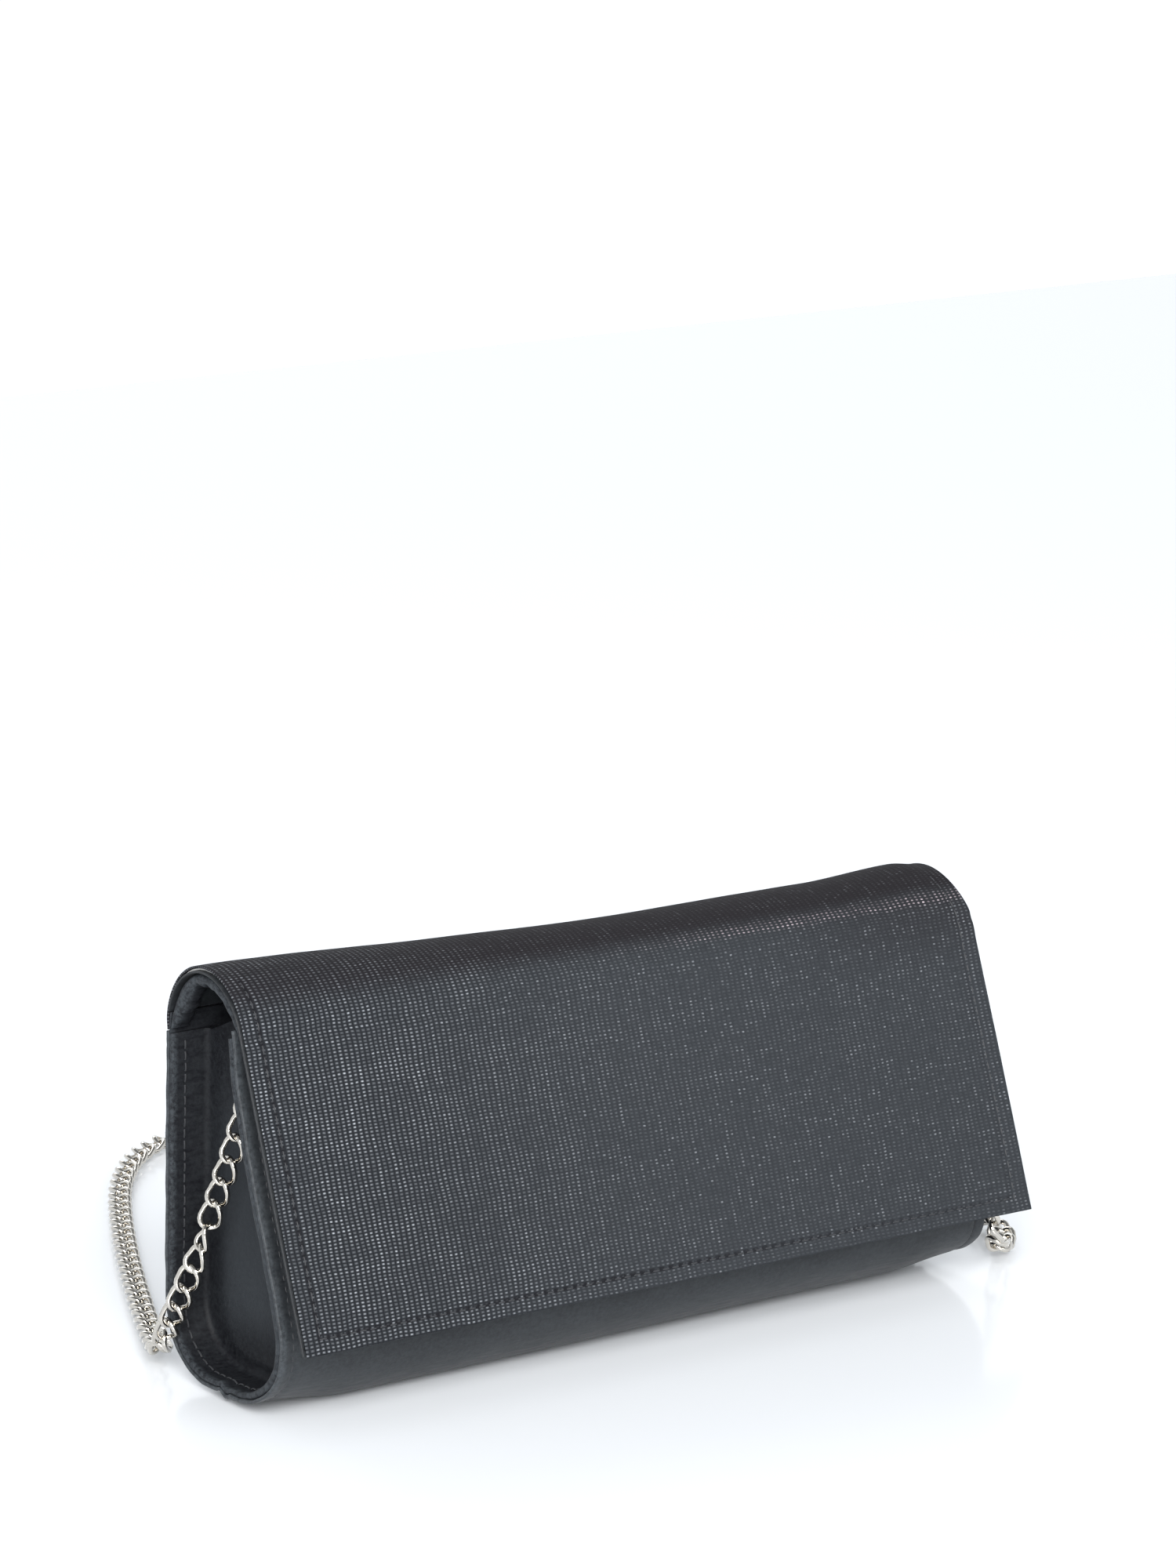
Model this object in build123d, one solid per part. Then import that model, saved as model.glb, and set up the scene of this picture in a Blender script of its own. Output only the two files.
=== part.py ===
from build123d import *
import math
import os

# Evening bag: a stiffened satin clutch with a mesh flap and a chain strap.
# Millimetres. X runs along the bag, the front faces -Y, +Z is up, and the
# origin is the middle of the flat strip that the bag stands on.

# ---- driving dimensions -----------------------------------------------------
BODY_HALF = 120.5  # middle of the bag to an end rim
FLAP_HALF = 122.5  # middle of the bag to a side edge of the flap
REST_HALF = 7.5  # half the width of the flat strip underneath
BACK_RADIUS = 22.0  # rounding from the strip up to the back
FRONT_RADIUS = 24.0  # rounding from the strip up to the front
FRONT_LEAN = 15.0  # degrees that the front leans back over the bag
BACK_TOP = 99.0  # height of the back's top edge, where the flap starts
MOUTH_TOP = 104.5  # height of the front's top edge
MOUTH_HINGE_Z = 26.0  # height of the line that the front bends about
FOLD_RADIUS = 21.0  # the flap's fold over the top of the bag
FOLD_CENTRE_Y = 6.0
FLAP_LEAN = 20.5  # degrees from upright of the flap's front
FLAP_BOTTOM = 24.3  # height of the flap's lower edge

# Layers of the body, as depths below its outer surface.
COVER = (0.0, 1.2)
BOARD = (1.3, 2.6)
LINING = (2.7, 3.4)
SEAM_FLANGE = (1.5, 2.8)  # the gusset's edge, sewn inside the cover
POCKET = (3.6, 4.2)

# Layers of the flap, as depths below its outer surface.
FLAP_COVER = (0.0, 0.6)
FLAP_CORE = (0.7, 1.3)
FLAP_LINING = (1.4, 1.9)
HEM = 0.6  # the flap's cover turned in round its edges

RECESS = 10.5  # end rim to the gusset's outer face
WEB = 1.2  # the gusset's thickness
CORE_HALF = 108.0  # half length of the boards and the lining
SPLIT_GAP = 0.2  # each side of a line that the bag bends about

# The magnetic snap, and the chain with its rings.
SNAP_Z = 47.0
SNAP_RADIUS = 9.0
SNAP_HEIGHT = 3.2
STUD_HOLE = 3.6
STUD_RADIUS = 2.3
WIRE = 0.8  # radius of the wire of the D-rings
RING_X = 113.9
RING_Y = -3.2
RING_Z = 96.5
RING_RADIUS = 4.6
CHAIN_DIAMETER = 6.5

TALL = 200.0  # higher than the bag, for cuts

# ---- derived outlines -------------------------------------------------------
BACK_CENTRE = Vector(REST_HALF, BACK_RADIUS)
FRONT_CENTRE = Vector(-REST_HALF, FRONT_RADIUS)
HINGE_Y = FOLD_CENTRE_Y + FOLD_RADIUS
BACK_LEAN = math.degrees(math.atan((REST_HALF + BACK_RADIUS - HINGE_Y) / (BACK_TOP - BACK_RADIUS)))
FRONT_NORMAL = Vector(-math.cos(math.radians(FRONT_LEAN)), math.sin(math.radians(FRONT_LEAN)))
FLAP_NORMAL = Vector(-math.cos(math.radians(FLAP_LEAN)), math.sin(math.radians(FLAP_LEAN)))
FOLD_CENTRE = Vector(FOLD_CENTRE_Y, BACK_TOP)


def up_to(point, lean, height):
    """The point at a height on a line that leans by so many degrees towards +Y."""
    return Vector(point.X + (height - point.Y) * math.tan(math.radians(lean)), height)


def box_between(low, high):
    """A box from one corner to the other."""
    size = Vector(*high) - Vector(*low)
    return Pos(*low) * Box(size.X, size.Y, size.Z, align=(Align.MIN, Align.MIN, Align.MIN))


def body_section(depth, top=TALL):
    """The body's cross-section at a depth below its outer surface, filled in."""
    back_radius = BACK_RADIUS - depth
    front_radius = FRONT_RADIUS - depth
    back_angle = math.radians(BACK_LEAN)
    front_low = FRONT_CENTRE + FRONT_NORMAL * front_radius
    back_low = BACK_CENTRE + Vector(math.cos(back_angle), math.sin(back_angle)) * back_radius
    front_high = up_to(front_low, FRONT_LEAN, top)
    back_high = up_to(back_low, -BACK_LEAN, top)
    with BuildSketch(Plane.YZ) as sketch:
        with BuildLine():
            Line(front_high, front_low)
            CenterArc(FRONT_CENTRE, front_radius, 180 - FRONT_LEAN, 90 + FRONT_LEAN)
            Line((-REST_HALF, depth), (REST_HALF, depth))
            CenterArc(BACK_CENTRE, back_radius, 270, 90 + BACK_LEAN)
            Line(back_low, back_high)
            Line(back_high, front_high)
        make_face()
    return sketch.sketch


def prism(section, half_length):
    """A cross-section run along the bag, the same length each side of its middle."""
    return extrude(section, amount=half_length, both=True)


def body_layer(depths, half_length):
    """One layer of the body: the back, the bottom and the front in one piece."""
    return prism(body_section(depths[0]), half_length) - prism(body_section(depths[1]), half_length + 1)


def front_part(layer, low, high):
    """The part of a layer in the front, between two heights."""
    return layer & box_between((-TALL, -TALL, low), (TALL, 0, high))


def back_part(layer, low, high):
    """The part of a layer in the back, between two heights."""
    return layer & box_between((-TALL, 0, low), (TALL, TALL, high))


def below_mouth_hinge(layer, top):
    """The part of a layer that stays still: the back up to a height, and the bottom."""
    still = layer - box_between((-TALL, -TALL, MOUTH_HINGE_Z - SPLIT_GAP), (TALL, 0, TALL + 1))
    return still & box_between((-TALL, -TALL, -1), (TALL, TALL, top))


def save(name, solid):
    """Write one sub-part to its own file."""
    export_step(solid, os.path.join("parts", name + ".step"))


# ---- the body's fixed pieces ------------------------------------------------
def make_back_and_base():
    """The satin cover, the stiffening boards, the lining and the pocket inside."""
    save("back_cover", below_mouth_hinge(body_layer(COVER, BODY_HALF), BACK_TOP - SPLIT_GAP))
    board = body_layer(BOARD, CORE_HALF)
    base_board_top = 12.0
    save("back_board", back_part(board, base_board_top + 1, BACK_TOP - 3))
    save("base_board", board & box_between((-TALL, -TALL, 0), (TALL, TALL, base_board_top)))
    facing_bottom = 84.0
    lining = body_layer(LINING, CORE_HALF)
    save("back_lining", below_mouth_hinge(lining, facing_bottom - 0.1))
    save("back_facing", back_part(lining, facing_bottom + 0.1, BACK_TOP - SPLIT_GAP))
    pocket_half = 62.0
    save("slip_pocket", back_part(body_layer(POCKET, pocket_half), 30.0, 76.0))


def gusset_top_cut():
    """Everything above the gusset's top edge, which falls from the front to the back."""
    front_height = MOUTH_TOP - 3
    back_height = BACK_TOP - 2
    with BuildSketch(Plane.YZ) as sketch:
        with BuildLine():
            Polyline(
                (-TALL, front_height + 30),
                (-12, front_height),
                (HINGE_Y, back_height),
                (TALL, back_height + 30),
                (TALL, 2 * TALL),
                (-TALL, 2 * TALL),
                close=True,
            )
        make_face()
    return prism(sketch.sketch, TALL)


def make_gusset(side, name):
    """One end of the bag: a panel set in from the rim, with its edge sewn inside the cover."""
    outside = side * BODY_HALF
    web_face = side * (BODY_HALF - RECESS)
    web_back = web_face - side * WEB
    inside = prism(body_section(SEAM_FLANGE[0]), TALL)
    hollow = prism(body_section(SEAM_FLANGE[1]), TALL)
    flange = (inside - hollow) & slab(web_back, outside)
    web = inside & slab(web_back, web_face)
    save("gusset_" + name, flange + web - gusset_top_cut())
    lining_gap = 0.8
    lining_thickness = 0.6
    lining_face = web_back - side * lining_gap
    lining_back = lining_face - side * lining_thickness
    lining = prism(body_section(POCKET[0]), TALL) & slab(lining_back, lining_face)
    save("gusset_lining_" + name, lining - gusset_top_cut())


def slab(x_a, x_b):
    """Everything between two places along the bag."""
    return box_between((min(x_a, x_b), -TALL, -TALL), (max(x_a, x_b), TALL, 2 * TALL))


# ---- the front, which bends out when the mouth opens -------------------------
def on_front(height, depth):
    """Where a line square to the front meets a depth below its surface."""
    foot = up_to(FRONT_CENTRE + FRONT_NORMAL * FRONT_RADIUS, FRONT_LEAN, height)
    return foot - FRONT_NORMAL * depth


def disc_on(normal, centre, radius, outward, inward=0.0):
    """A round plate across a panel, from so far outside a point to so far inside it."""
    axis = Vector(0, normal.X, normal.Y)
    start = Vector(0, centre.X, centre.Y) - axis * inward
    face = Plane(origin=start, z_dir=axis) * Circle(radius)
    return extrude(face, amount=outward + inward)


def make_front():
    """The front's cover, board, lining and facing, and the socket half of the snap."""
    low = MOUTH_HINGE_Z + SPLIT_GAP
    hem_depth = 1.4
    cover = front_part(body_layer(COVER, BODY_HALF), low, MOUTH_TOP)
    turned_hem = front_part(body_layer((COVER[1], BOARD[1]), CORE_HALF), MOUTH_TOP - hem_depth, MOUTH_TOP)
    snap_foot = on_front(SNAP_Z, 0)
    leg_hole = disc_on(FRONT_NORMAL, snap_foot, STUD_HOLE, 1, COVER[1] + 1)
    save("front_cover", cover + turned_hem - leg_hole)
    washer_radius = 8.0
    board = front_part(body_layer(BOARD, CORE_HALF), low, MOUTH_TOP - hem_depth - 0.2)
    board_hole = disc_on(FRONT_NORMAL, snap_foot, washer_radius + 0.2, 1, LINING[1])
    save("front_board", board - board_hole)
    facing_bottom = 86.0
    lining = body_layer(LINING, CORE_HALF - 1.5)
    save("front_lining", front_part(lining, low, facing_bottom - 0.1))
    save("front_facing", front_part(lining, facing_bottom + 0.1, MOUTH_TOP - 0.4))
    washer_seat = on_front(SNAP_Z, BOARD[1] - 0.1)
    save("snap_socket_washer", disc_on(FRONT_NORMAL, washer_seat, washer_radius, 1.0))
    socket = disc_on(FRONT_NORMAL, snap_foot, SNAP_RADIUS, SNAP_HEIGHT)
    spigot = disc_on(FRONT_NORMAL, snap_foot, STUD_HOLE - 0.2, 0, COVER[1] + 0.2)
    well = disc_on(FRONT_NORMAL, snap_foot + FRONT_NORMAL * 0.6, STUD_HOLE, SNAP_HEIGHT)
    save("snap_socket", socket + spigot - well)


# ---- the flap ----------------------------------------------------------------
def flap_section(depths, start_angle=0.6, end_margin=0.0):
    """A layer of the flap: over the fold from the hinge, then straight down the front."""
    outer = FOLD_RADIUS - depths[0]
    inner = FOLD_RADIUS - depths[1]
    bottom = FLAP_BOTTOM + end_margin
    fold_end = 180 - FLAP_LEAN
    outer_end = FOLD_CENTRE + FLAP_NORMAL * outer
    inner_end = FOLD_CENTRE + FLAP_NORMAL * inner
    outer_foot = up_to(outer_end, FLAP_LEAN, bottom)
    inner_foot = up_to(inner_end, FLAP_LEAN, bottom)
    start = Vector(math.cos(math.radians(start_angle)), math.sin(math.radians(start_angle)))
    with BuildSketch(Plane.YZ) as sketch:
        with BuildLine():
            CenterArc(FOLD_CENTRE, outer, start_angle, fold_end - start_angle)
            Line(outer_end, outer_foot)
            Line(outer_foot, inner_foot)
            Line(inner_foot, inner_end)
            CenterArc(FOLD_CENTRE, inner, start_angle, fold_end - start_angle)
            Line(FOLD_CENTRE + start * inner, FOLD_CENTRE + start * outer)
        make_face()
    return sketch.sketch


def make_flap():
    """The mesh cover with its turned edges, the padding, board and lining, and the stud half of the snap."""
    inset = HEM + 0.1
    full = prism(flap_section((FLAP_COVER[0], FLAP_LINING[1])), FLAP_HALF)
    tray = prism(flap_section((FLAP_COVER[1], TALL / 20), -5, HEM), FLAP_HALF - HEM)
    save("flap_cover", full - tray)
    core = prism(flap_section(FLAP_CORE, 4, inset + 0.4), FLAP_HALF - inset - 0.4)
    board_top = FOLD_CENTRE + FLAP_NORMAL * FOLD_RADIUS
    above_board = box_between((-TALL, -TALL, board_top.Y - 2), (TALL, TALL, TALL))
    below_padding = box_between((-TALL, -TALL, -TALL), (TALL, -5, board_top.Y - 2.4))
    stud_foot = on_flap(SNAP_Z + 0.4, FLAP_LINING[1])
    washer_radius = 7.0
    washer_hole = disc_on(FLAP_NORMAL, stud_foot, washer_radius + 0.2, FLAP_LINING[1] - FLAP_COVER[1], 1)
    save("flap_padding", core & above_board)
    save("flap_board", (core & below_padding) - washer_hole)
    lining = prism(flap_section(FLAP_LINING, 2, inset), FLAP_HALF - inset)
    leg_radius = 2.0
    leg_hole = disc_on(FLAP_NORMAL, stud_foot, leg_radius + 0.2, 1, 1)
    save("flap_lining", lining - leg_hole)
    washer_seat = on_flap(SNAP_Z + 0.4, FLAP_CORE[1])
    save("snap_stud_washer", disc_on(FLAP_NORMAL, washer_seat, washer_radius, FLAP_CORE[1] - FLAP_CORE[0]))
    plate_height = 1.3
    stud_length = 1.3
    plate = disc_on(FLAP_NORMAL, stud_foot, SNAP_RADIUS - 0.5, 0, plate_height)
    stud = disc_on(FLAP_NORMAL, stud_foot, STUD_RADIUS, 0, plate_height + stud_length)
    leg = disc_on(FLAP_NORMAL, stud_foot, leg_radius, FLAP_LINING[1] - FLAP_LINING[0], 0)
    save("snap_stud", plate + stud + leg)


def on_flap(height, depth):
    """Where a line square to the flap's front meets a depth below its surface."""
    foot = up_to(FOLD_CENTRE + FLAP_NORMAL * FOLD_RADIUS, FLAP_LEAN, height)
    return foot - FLAP_NORMAL * depth


# ---- the rings and the chain ---------------------------------------------------
def make_tab(side, name):
    """A satin loop on the gusset that holds the D-ring's straight bar."""
    web_face = BODY_HALF - RECESS
    half_width = 3.2
    bore = WIRE + 0.15
    outer = bore + 0.8
    with BuildSketch(Plane.XZ) as sketch:
        with BuildLine():
            Polyline(
                (web_face + 0.1, 100.3),
                (web_face + 1.0, 100.3),
                (RING_X + outer * 0.7, RING_Z + outer * 0.7),
                (RING_X, RING_Z),
                (RING_X - outer, RING_Z - 0.4),
                (web_face + 0.1, RING_Z + 1.0),
                close=True,
            )
        make_face()
        with Locations((RING_X, RING_Z)):
            Circle(outer)
            Circle(bore, mode=Mode.SUBTRACT)
    tab = Pos(0, RING_Y, 0) * extrude(sketch.sketch, amount=half_width, both=True)
    save("chain_tab_" + name, mirror(tab, about=Plane.YZ) if side < 0 else tab)


def wire_loop(half_width, half_straight, radius):
    """A closed oval of round wire in the XZ plane, long in Z."""
    with BuildLine(Plane.XZ) as path:
        Line((half_width, -half_straight), (half_width, half_straight))
        CenterArc((0, half_straight), half_width, 0, 180)
        Line((-half_width, half_straight), (-half_width, -half_straight))
        CenterArc((0, -half_straight), half_width, 180, 180)
    start = Plane(origin=(half_width, 0, -half_straight), z_dir=(0, 0, 1))
    return sweep(start * Circle(radius), path=path.wires()[0])


def make_ring(side, name):
    """The D-ring, hung by its bar, and the first link of the chain, hung in the ring."""
    bar = Rot(90, 0, 0) * Cylinder(WIRE, 2 * RING_RADIUS)
    with BuildLine(Plane.YZ) as bow_path:
        CenterArc((0, 0), RING_RADIUS, 180, 180)
    start = Plane(origin=(0, -RING_RADIUS, 0), z_dir=(0, 0, -1))
    bow = sweep(start * Circle(WIRE), path=bow_path.wires()[0])
    corners = [Pos(0, end * RING_RADIUS, 0) * Sphere(WIRE) for end in (-1, 1)]
    ring = bar + bow + corners[0] + corners[1]
    save("d_ring_" + name, Pos(side * RING_X, RING_Y, RING_Z) * ring)
    link_wire = 0.75
    half_width = 2.3
    half_straight = 1.3
    clearance = 0.05
    top = RING_Z - RING_RADIUS + WIRE + link_wire + clearance
    centre = top - half_width - half_straight
    link = wire_loop(half_width, half_straight, link_wire)
    save("end_link_" + name, Pos(side * RING_X, RING_Y, centre) * link)


# The chain strap lies on the ground behind the bag. Its route runs from under
# the left ring to under the right one.
FLOOR_Z = CHAIN_DIAMETER / 2
LEFT_HANG = [
    (-114.3, -3.2, 84.8),
    (-115.8, -0.4, 75.5),
    (-117.6, 2.4, 65.5),
    (-119.3, 6.2, 55.0),
    (-121.6, 9.6, 43.0),
    (-124.2, 14.0, 30.5),
    (-125.2, 20.4, 19.5),
    (-123.6, 28.6, 9.8),
    (-119.2, 38.0, 4.6),
]
ON_THE_GROUND = [
    (-112.8, 52.5),
    (-101.6, 77.5),
    (-80.5, 121.5),
    (-55.5, 169.0),
    (-38.5, 196.0),
    (-18.0, 218.0),
    (10.0, 228.5),
    (44.0, 225.5),
    (76.0, 209.0),
    (93.0, 185.0),
    (97.0, 156.0),
    (82.0, 131.0),
    (54.0, 119.0),
    (20.0, 114.0),
    (-15.0, 110.0),
    (-46.0, 98.0),
    (-61.0, 76.0),
    (-50.0, 54.0),
    (-20.0, 46.0),
    (14.0, 46.0),
    (50.0, 49.0),
    (84.0, 50.0),
    (113.0, 48.0),
    (134.0, 38.0),
    (145.5, 22.0),
    (149.0, 6.0),
    (144.5, -6.0),
    (137.0, -15.0),
]
RIGHT_HANG = [
    (129.6, -21.4, 6.4),
    (125.6, -23.8, 13.5),
    (124.2, -22.6, 23.0),
    (122.6, -18.4, 34.0),
    (120.4, -13.8, 46.0),
    (117.8, -9.0, 58.5),
    (115.6, -5.4, 71.5),
    (114.3, -3.2, 84.8),
]


def make_chain():
    """The chain strap's own space: a tube of straight runs joined by tangent arcs."""
    on_the_ground = [(x, y, FLOOR_Z) for x, y in ON_THE_GROUND]
    route = [Vector(*point) for point in LEFT_HANG + on_the_ground + RIGHT_HANG]
    radii = []
    for before, corner, after in zip(route, route[1:], route[2:]):
        turn = (corner - before).get_angle(after - corner)
        shorter = min((corner - before).length, (after - corner).length)
        radii.append(0.45 * shorter / math.tan(math.radians(turn) / 2))
        print("corner", tuple(round(value, 1) for value in corner), "turn", round(turn), "radius", round(radii[-1], 1))
    with BuildLine() as path:
        FilletPolyline(*route, radius=radii)
    wire = path.wires()[0]
    start = Plane(origin=route[0], z_dir=route[1] - route[0])
    tube = sweep(start * Circle(CHAIN_DIAMETER / 2), path=wire)
    section = math.pi * CHAIN_DIAMETER**2 / 4
    print("chain length", round(wire.length), "volume share", round(tube.volume / section / wire.length, 4))
    save("chain_strap", tube)


os.makedirs("parts", exist_ok=True)
make_back_and_base()
make_front()
make_flap()
for side_sign, side_name in ((-1, "left"), (1, "right")):
    make_gusset(side_sign, side_name)
    make_tab(side_sign, side_name)
    make_ring(side_sign, side_name)
make_chain()
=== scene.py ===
"""An evening bag: a stiff satin clutch with a mesh flap and a chain strap, dressed over its CAD frame.

Lengths in this script are millimetres in the frame's own axes, and MM turns them into metres where
a mesh is made. X runs along the bag, the front faces -Y and the bag stands on z = 0.
"""
import bisect
import math

import bmesh
import bpy
from mathutils import Matrix, Vector, noise


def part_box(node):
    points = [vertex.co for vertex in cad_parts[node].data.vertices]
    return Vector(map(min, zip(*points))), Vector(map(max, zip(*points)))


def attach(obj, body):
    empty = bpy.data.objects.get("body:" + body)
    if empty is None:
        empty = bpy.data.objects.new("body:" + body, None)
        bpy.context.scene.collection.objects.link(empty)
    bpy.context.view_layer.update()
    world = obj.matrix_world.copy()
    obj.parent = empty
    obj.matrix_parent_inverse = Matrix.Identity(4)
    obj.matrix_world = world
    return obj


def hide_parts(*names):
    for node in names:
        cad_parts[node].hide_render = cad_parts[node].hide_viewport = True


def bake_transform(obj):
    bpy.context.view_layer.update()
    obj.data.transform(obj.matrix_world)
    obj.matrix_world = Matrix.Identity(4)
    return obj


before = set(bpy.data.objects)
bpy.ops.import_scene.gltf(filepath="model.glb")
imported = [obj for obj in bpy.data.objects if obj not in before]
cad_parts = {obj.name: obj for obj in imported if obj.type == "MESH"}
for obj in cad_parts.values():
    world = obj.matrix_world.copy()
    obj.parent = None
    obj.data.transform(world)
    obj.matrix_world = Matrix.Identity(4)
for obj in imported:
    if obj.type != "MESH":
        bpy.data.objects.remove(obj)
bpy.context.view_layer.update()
MM = 0.001

# ---- the frame's driving dimensions ------------------------------------------
BODY_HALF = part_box("back_cover")[1].x / MM
FLAP_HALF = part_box("flap_cover")[1].x / MM
REST_HALF = 7.5
BACK_RADIUS = 22.0
FRONT_RADIUS = 24.0
FRONT_LEAN = math.radians(15.0)
BACK_TOP = 99.0
MOUTH_RAISED = 2.5
MOUTH_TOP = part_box("front_cover")[1].z / MM + MOUTH_RAISED
HINGE_Y = 27.0
FOLD_CENTRE = Vector((6.0, 99.0))
FOLD_RADIUS = 21.0
FLAP_LEAN = math.radians(20.5)
FLAP_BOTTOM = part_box("flap_cover")[0].z / MM
BACK_LEAN = math.atan((REST_HALF + BACK_RADIUS - HINGE_Y) / (BACK_TOP - BACK_RADIUS))
FRONT_NORMAL = Vector((-math.cos(FRONT_LEAN), math.sin(FRONT_LEAN)))
FLAP_NORMAL = Vector((-math.cos(FLAP_LEAN), math.sin(FLAP_LEAN)))

# How deep the two faces of each layer lie below the outline.
COVER = (0.0, 1.05)
FLANGE = (1.15, 2.85)
LINING = (2.75, 3.35)
FACING = (2.95, 3.55)
POCKET = (3.65, 4.25)
BASE_BOARD = (1.35, 2.55)
MESH_LAYER = (0.0, 0.62)
FLAP_FILLING = (0.7, 1.22)
FLAP_LINING = (1.3, 1.95)
HINGE_LAYER = (1.42, 1.92)
FACING_LAP = 3.0
WEB_X = BODY_HALF - 10.5
STITCH_PITCH = 3.2
STITCH_LENGTH = 2.3
STITCH_WIDTH = 0.42


# ---- outlines: lines in the YZ plane, measured by the run along them ----------
class Outline:
    """A line with outward normals. A place on it is a run from its start and a depth below it."""

    def __init__(self, places):
        self.places = places
        self.runs = [0.0]
        for (before, _), (after, _) in zip(places, places[1:]):
            self.runs.append(self.runs[-1] + (after - before).length)
        self.length = self.runs[-1]

    def normal(self, run):
        return self._mixed(run, 1).normalized()

    def at(self, run, depth=0.0):
        return self._mixed(run, 0) - self.normal(run) * depth

    def _mixed(self, run, which):
        index = min(max(bisect.bisect_left(self.runs, run), 1), len(self.runs) - 1)
        low, high = self.runs[index - 1], self.runs[index]
        share = (run - low) / (high - low)
        return self.places[index - 1][which].lerp(self.places[index][which], share)

    def run_at_height(self, height, after=0.0):
        """The first run past a given one where the line crosses a height."""
        for index in range(1, len(self.places)):
            before, here = self.places[index - 1][0].y, self.places[index][0].y
            if self.runs[index] > after and (before - height) * (here - height) <= 0 and before != here:
                share = (height - before) / (here - before)
                return self.runs[index - 1] + share * (self.runs[index] - self.runs[index - 1])
        return self.length


def in_space(place, x=0.0):
    """A place or a direction in the YZ plane, carried out along the bag."""
    return Vector((x, place.x, place.y))


def arc(centre, radius, start, end, step=3.0):
    """Places along an arc, from one angle in degrees to another."""
    count = max(2, round(abs(end - start) / step))
    found = []
    for index in range(count + 1):
        angle = math.radians(start + (end - start) * index / count)
        normal = Vector((math.cos(angle), math.sin(angle)))
        found.append((centre + normal * radius, normal))
    return found


def body_outline():
    """The body's outside: down the back, under the bottom and up the front."""
    back_normal = Vector((math.cos(BACK_LEAN), math.sin(BACK_LEAN)))
    top = Vector((HINGE_Y, BACK_TOP))
    back = arc(Vector((REST_HALF, BACK_RADIUS)), BACK_RADIUS, math.degrees(BACK_LEAN), -90)
    front = arc(Vector((-REST_HALF, FRONT_RADIUS)), FRONT_RADIUS, -90, -180 - math.degrees(FRONT_LEAN))
    foot = front[-1][0]
    rise = MOUTH_TOP - foot.y
    mouth = foot + Vector((rise * math.tan(FRONT_LEAN), rise))
    return Outline([(top, back_normal)] + back + front + [(mouth, FRONT_NORMAL)])


def flap_outline():
    """The flap's outside: over the fold from the hinge, then straight down the front."""
    fold = arc(FOLD_CENTRE, FOLD_RADIUS, 0.6, 180 - math.degrees(FLAP_LEAN))
    end = fold[-1][0]
    fall = end.y - FLAP_BOTTOM
    return Outline(fold + [(end + Vector((-fall * math.tan(FLAP_LEAN), -fall)), FLAP_NORMAL)])


BODY = body_outline()
FLAP = flap_outline()
STRIP_END = max(run for run, (place, _) in zip(BODY.runs, BODY.places) if place.y < 0.01)
BOTTOM_MIDDLE = STRIP_END - REST_HALF
FOLD_END = FOLD_RADIUS * (math.pi - FLAP_LEAN)


# ---- meshes -------------------------------------------------------------------
def add_object(name, data):
    """A new object in the scene."""
    made = bpy.data.objects.new(name, data)
    bpy.context.scene.collection.objects.link(made)
    return made


def clean(mesh):
    """Join the points that coincide and turn every face outward."""
    cleaned = bmesh.new()
    cleaned.from_mesh(mesh)
    bmesh.ops.remove_doubles(cleaned, verts=cleaned.verts, dist=0.004 * MM)
    bmesh.ops.recalc_face_normals(cleaned, faces=cleaned.faces)
    cleaned.to_mesh(mesh)
    cleaned.free()


def make_mesh(name, points, faces):
    """A smooth-shaded object from points in millimetres."""
    mesh = bpy.data.meshes.new(name)
    mesh.from_pydata([Vector(point) * MM for point in points], [], faces)
    clean(mesh)
    mesh.shade_smooth()
    mesh.set_sharp_from_angle(angle=math.radians(50))
    return add_object(name, mesh)


def loft(name, loops, closed=True, cap=True):
    """A skin through a row of loops that all have the same number of points."""
    count = len(loops[0])
    points = [point for loop in loops for point in loop]
    faces = []
    for row in range(len(loops) - 1):
        for column in range(count if closed else count - 1):
            after = (column + 1) % count
            low, high = row * count, (row + 1) * count
            faces.append((low + column, low + after, high + after, high + column))
    if cap:
        faces.append(tuple(range(count)))
        faces.append(tuple(range(len(points) - count, len(points))))
    return make_mesh(name, points, faces)


def dress(piece, material):
    """Give a piece its material."""
    piece.data.materials.clear()
    piece.data.materials.append(material)
    return piece


def fit(piece, material, hold, node=None):
    """Finish a piece: its material, what it moves with and the CAD node it stands for.

    hold is the name of a body, or a function that is called on the piece.
    """
    dress(piece, material)
    if callable(hold):
        hold(piece)
    else:
        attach(piece, hold)
    if node:
        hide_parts(node)
    return piece


def as_cloth(piece, width, length, rests_on):
    """Return a piece unchanged; its width and length in millimetres are worked out and dropped."""
    width * MM
    length * MM
    return piece


def steps(low, high, coarse, fine=None, margin=0.0):
    """Even steps between two numbers, finer within a margin of each end."""
    if fine is None:
        count = max(1, round((high - low) / coarse))
        return [low + (high - low) * index / count for index in range(count + 1)]
    start = steps(low, low + margin, fine)
    middle = steps(low + margin, high - margin, coarse)
    end = steps(high - margin, high, fine)
    return start + middle[1:-1] + end


def ripple(x, run, size, seed):
    """Smooth unevenness from -1 to 1, with waves about so many millimetres long."""
    return noise.noise(Vector((x / size, run / size, seed)))


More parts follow.
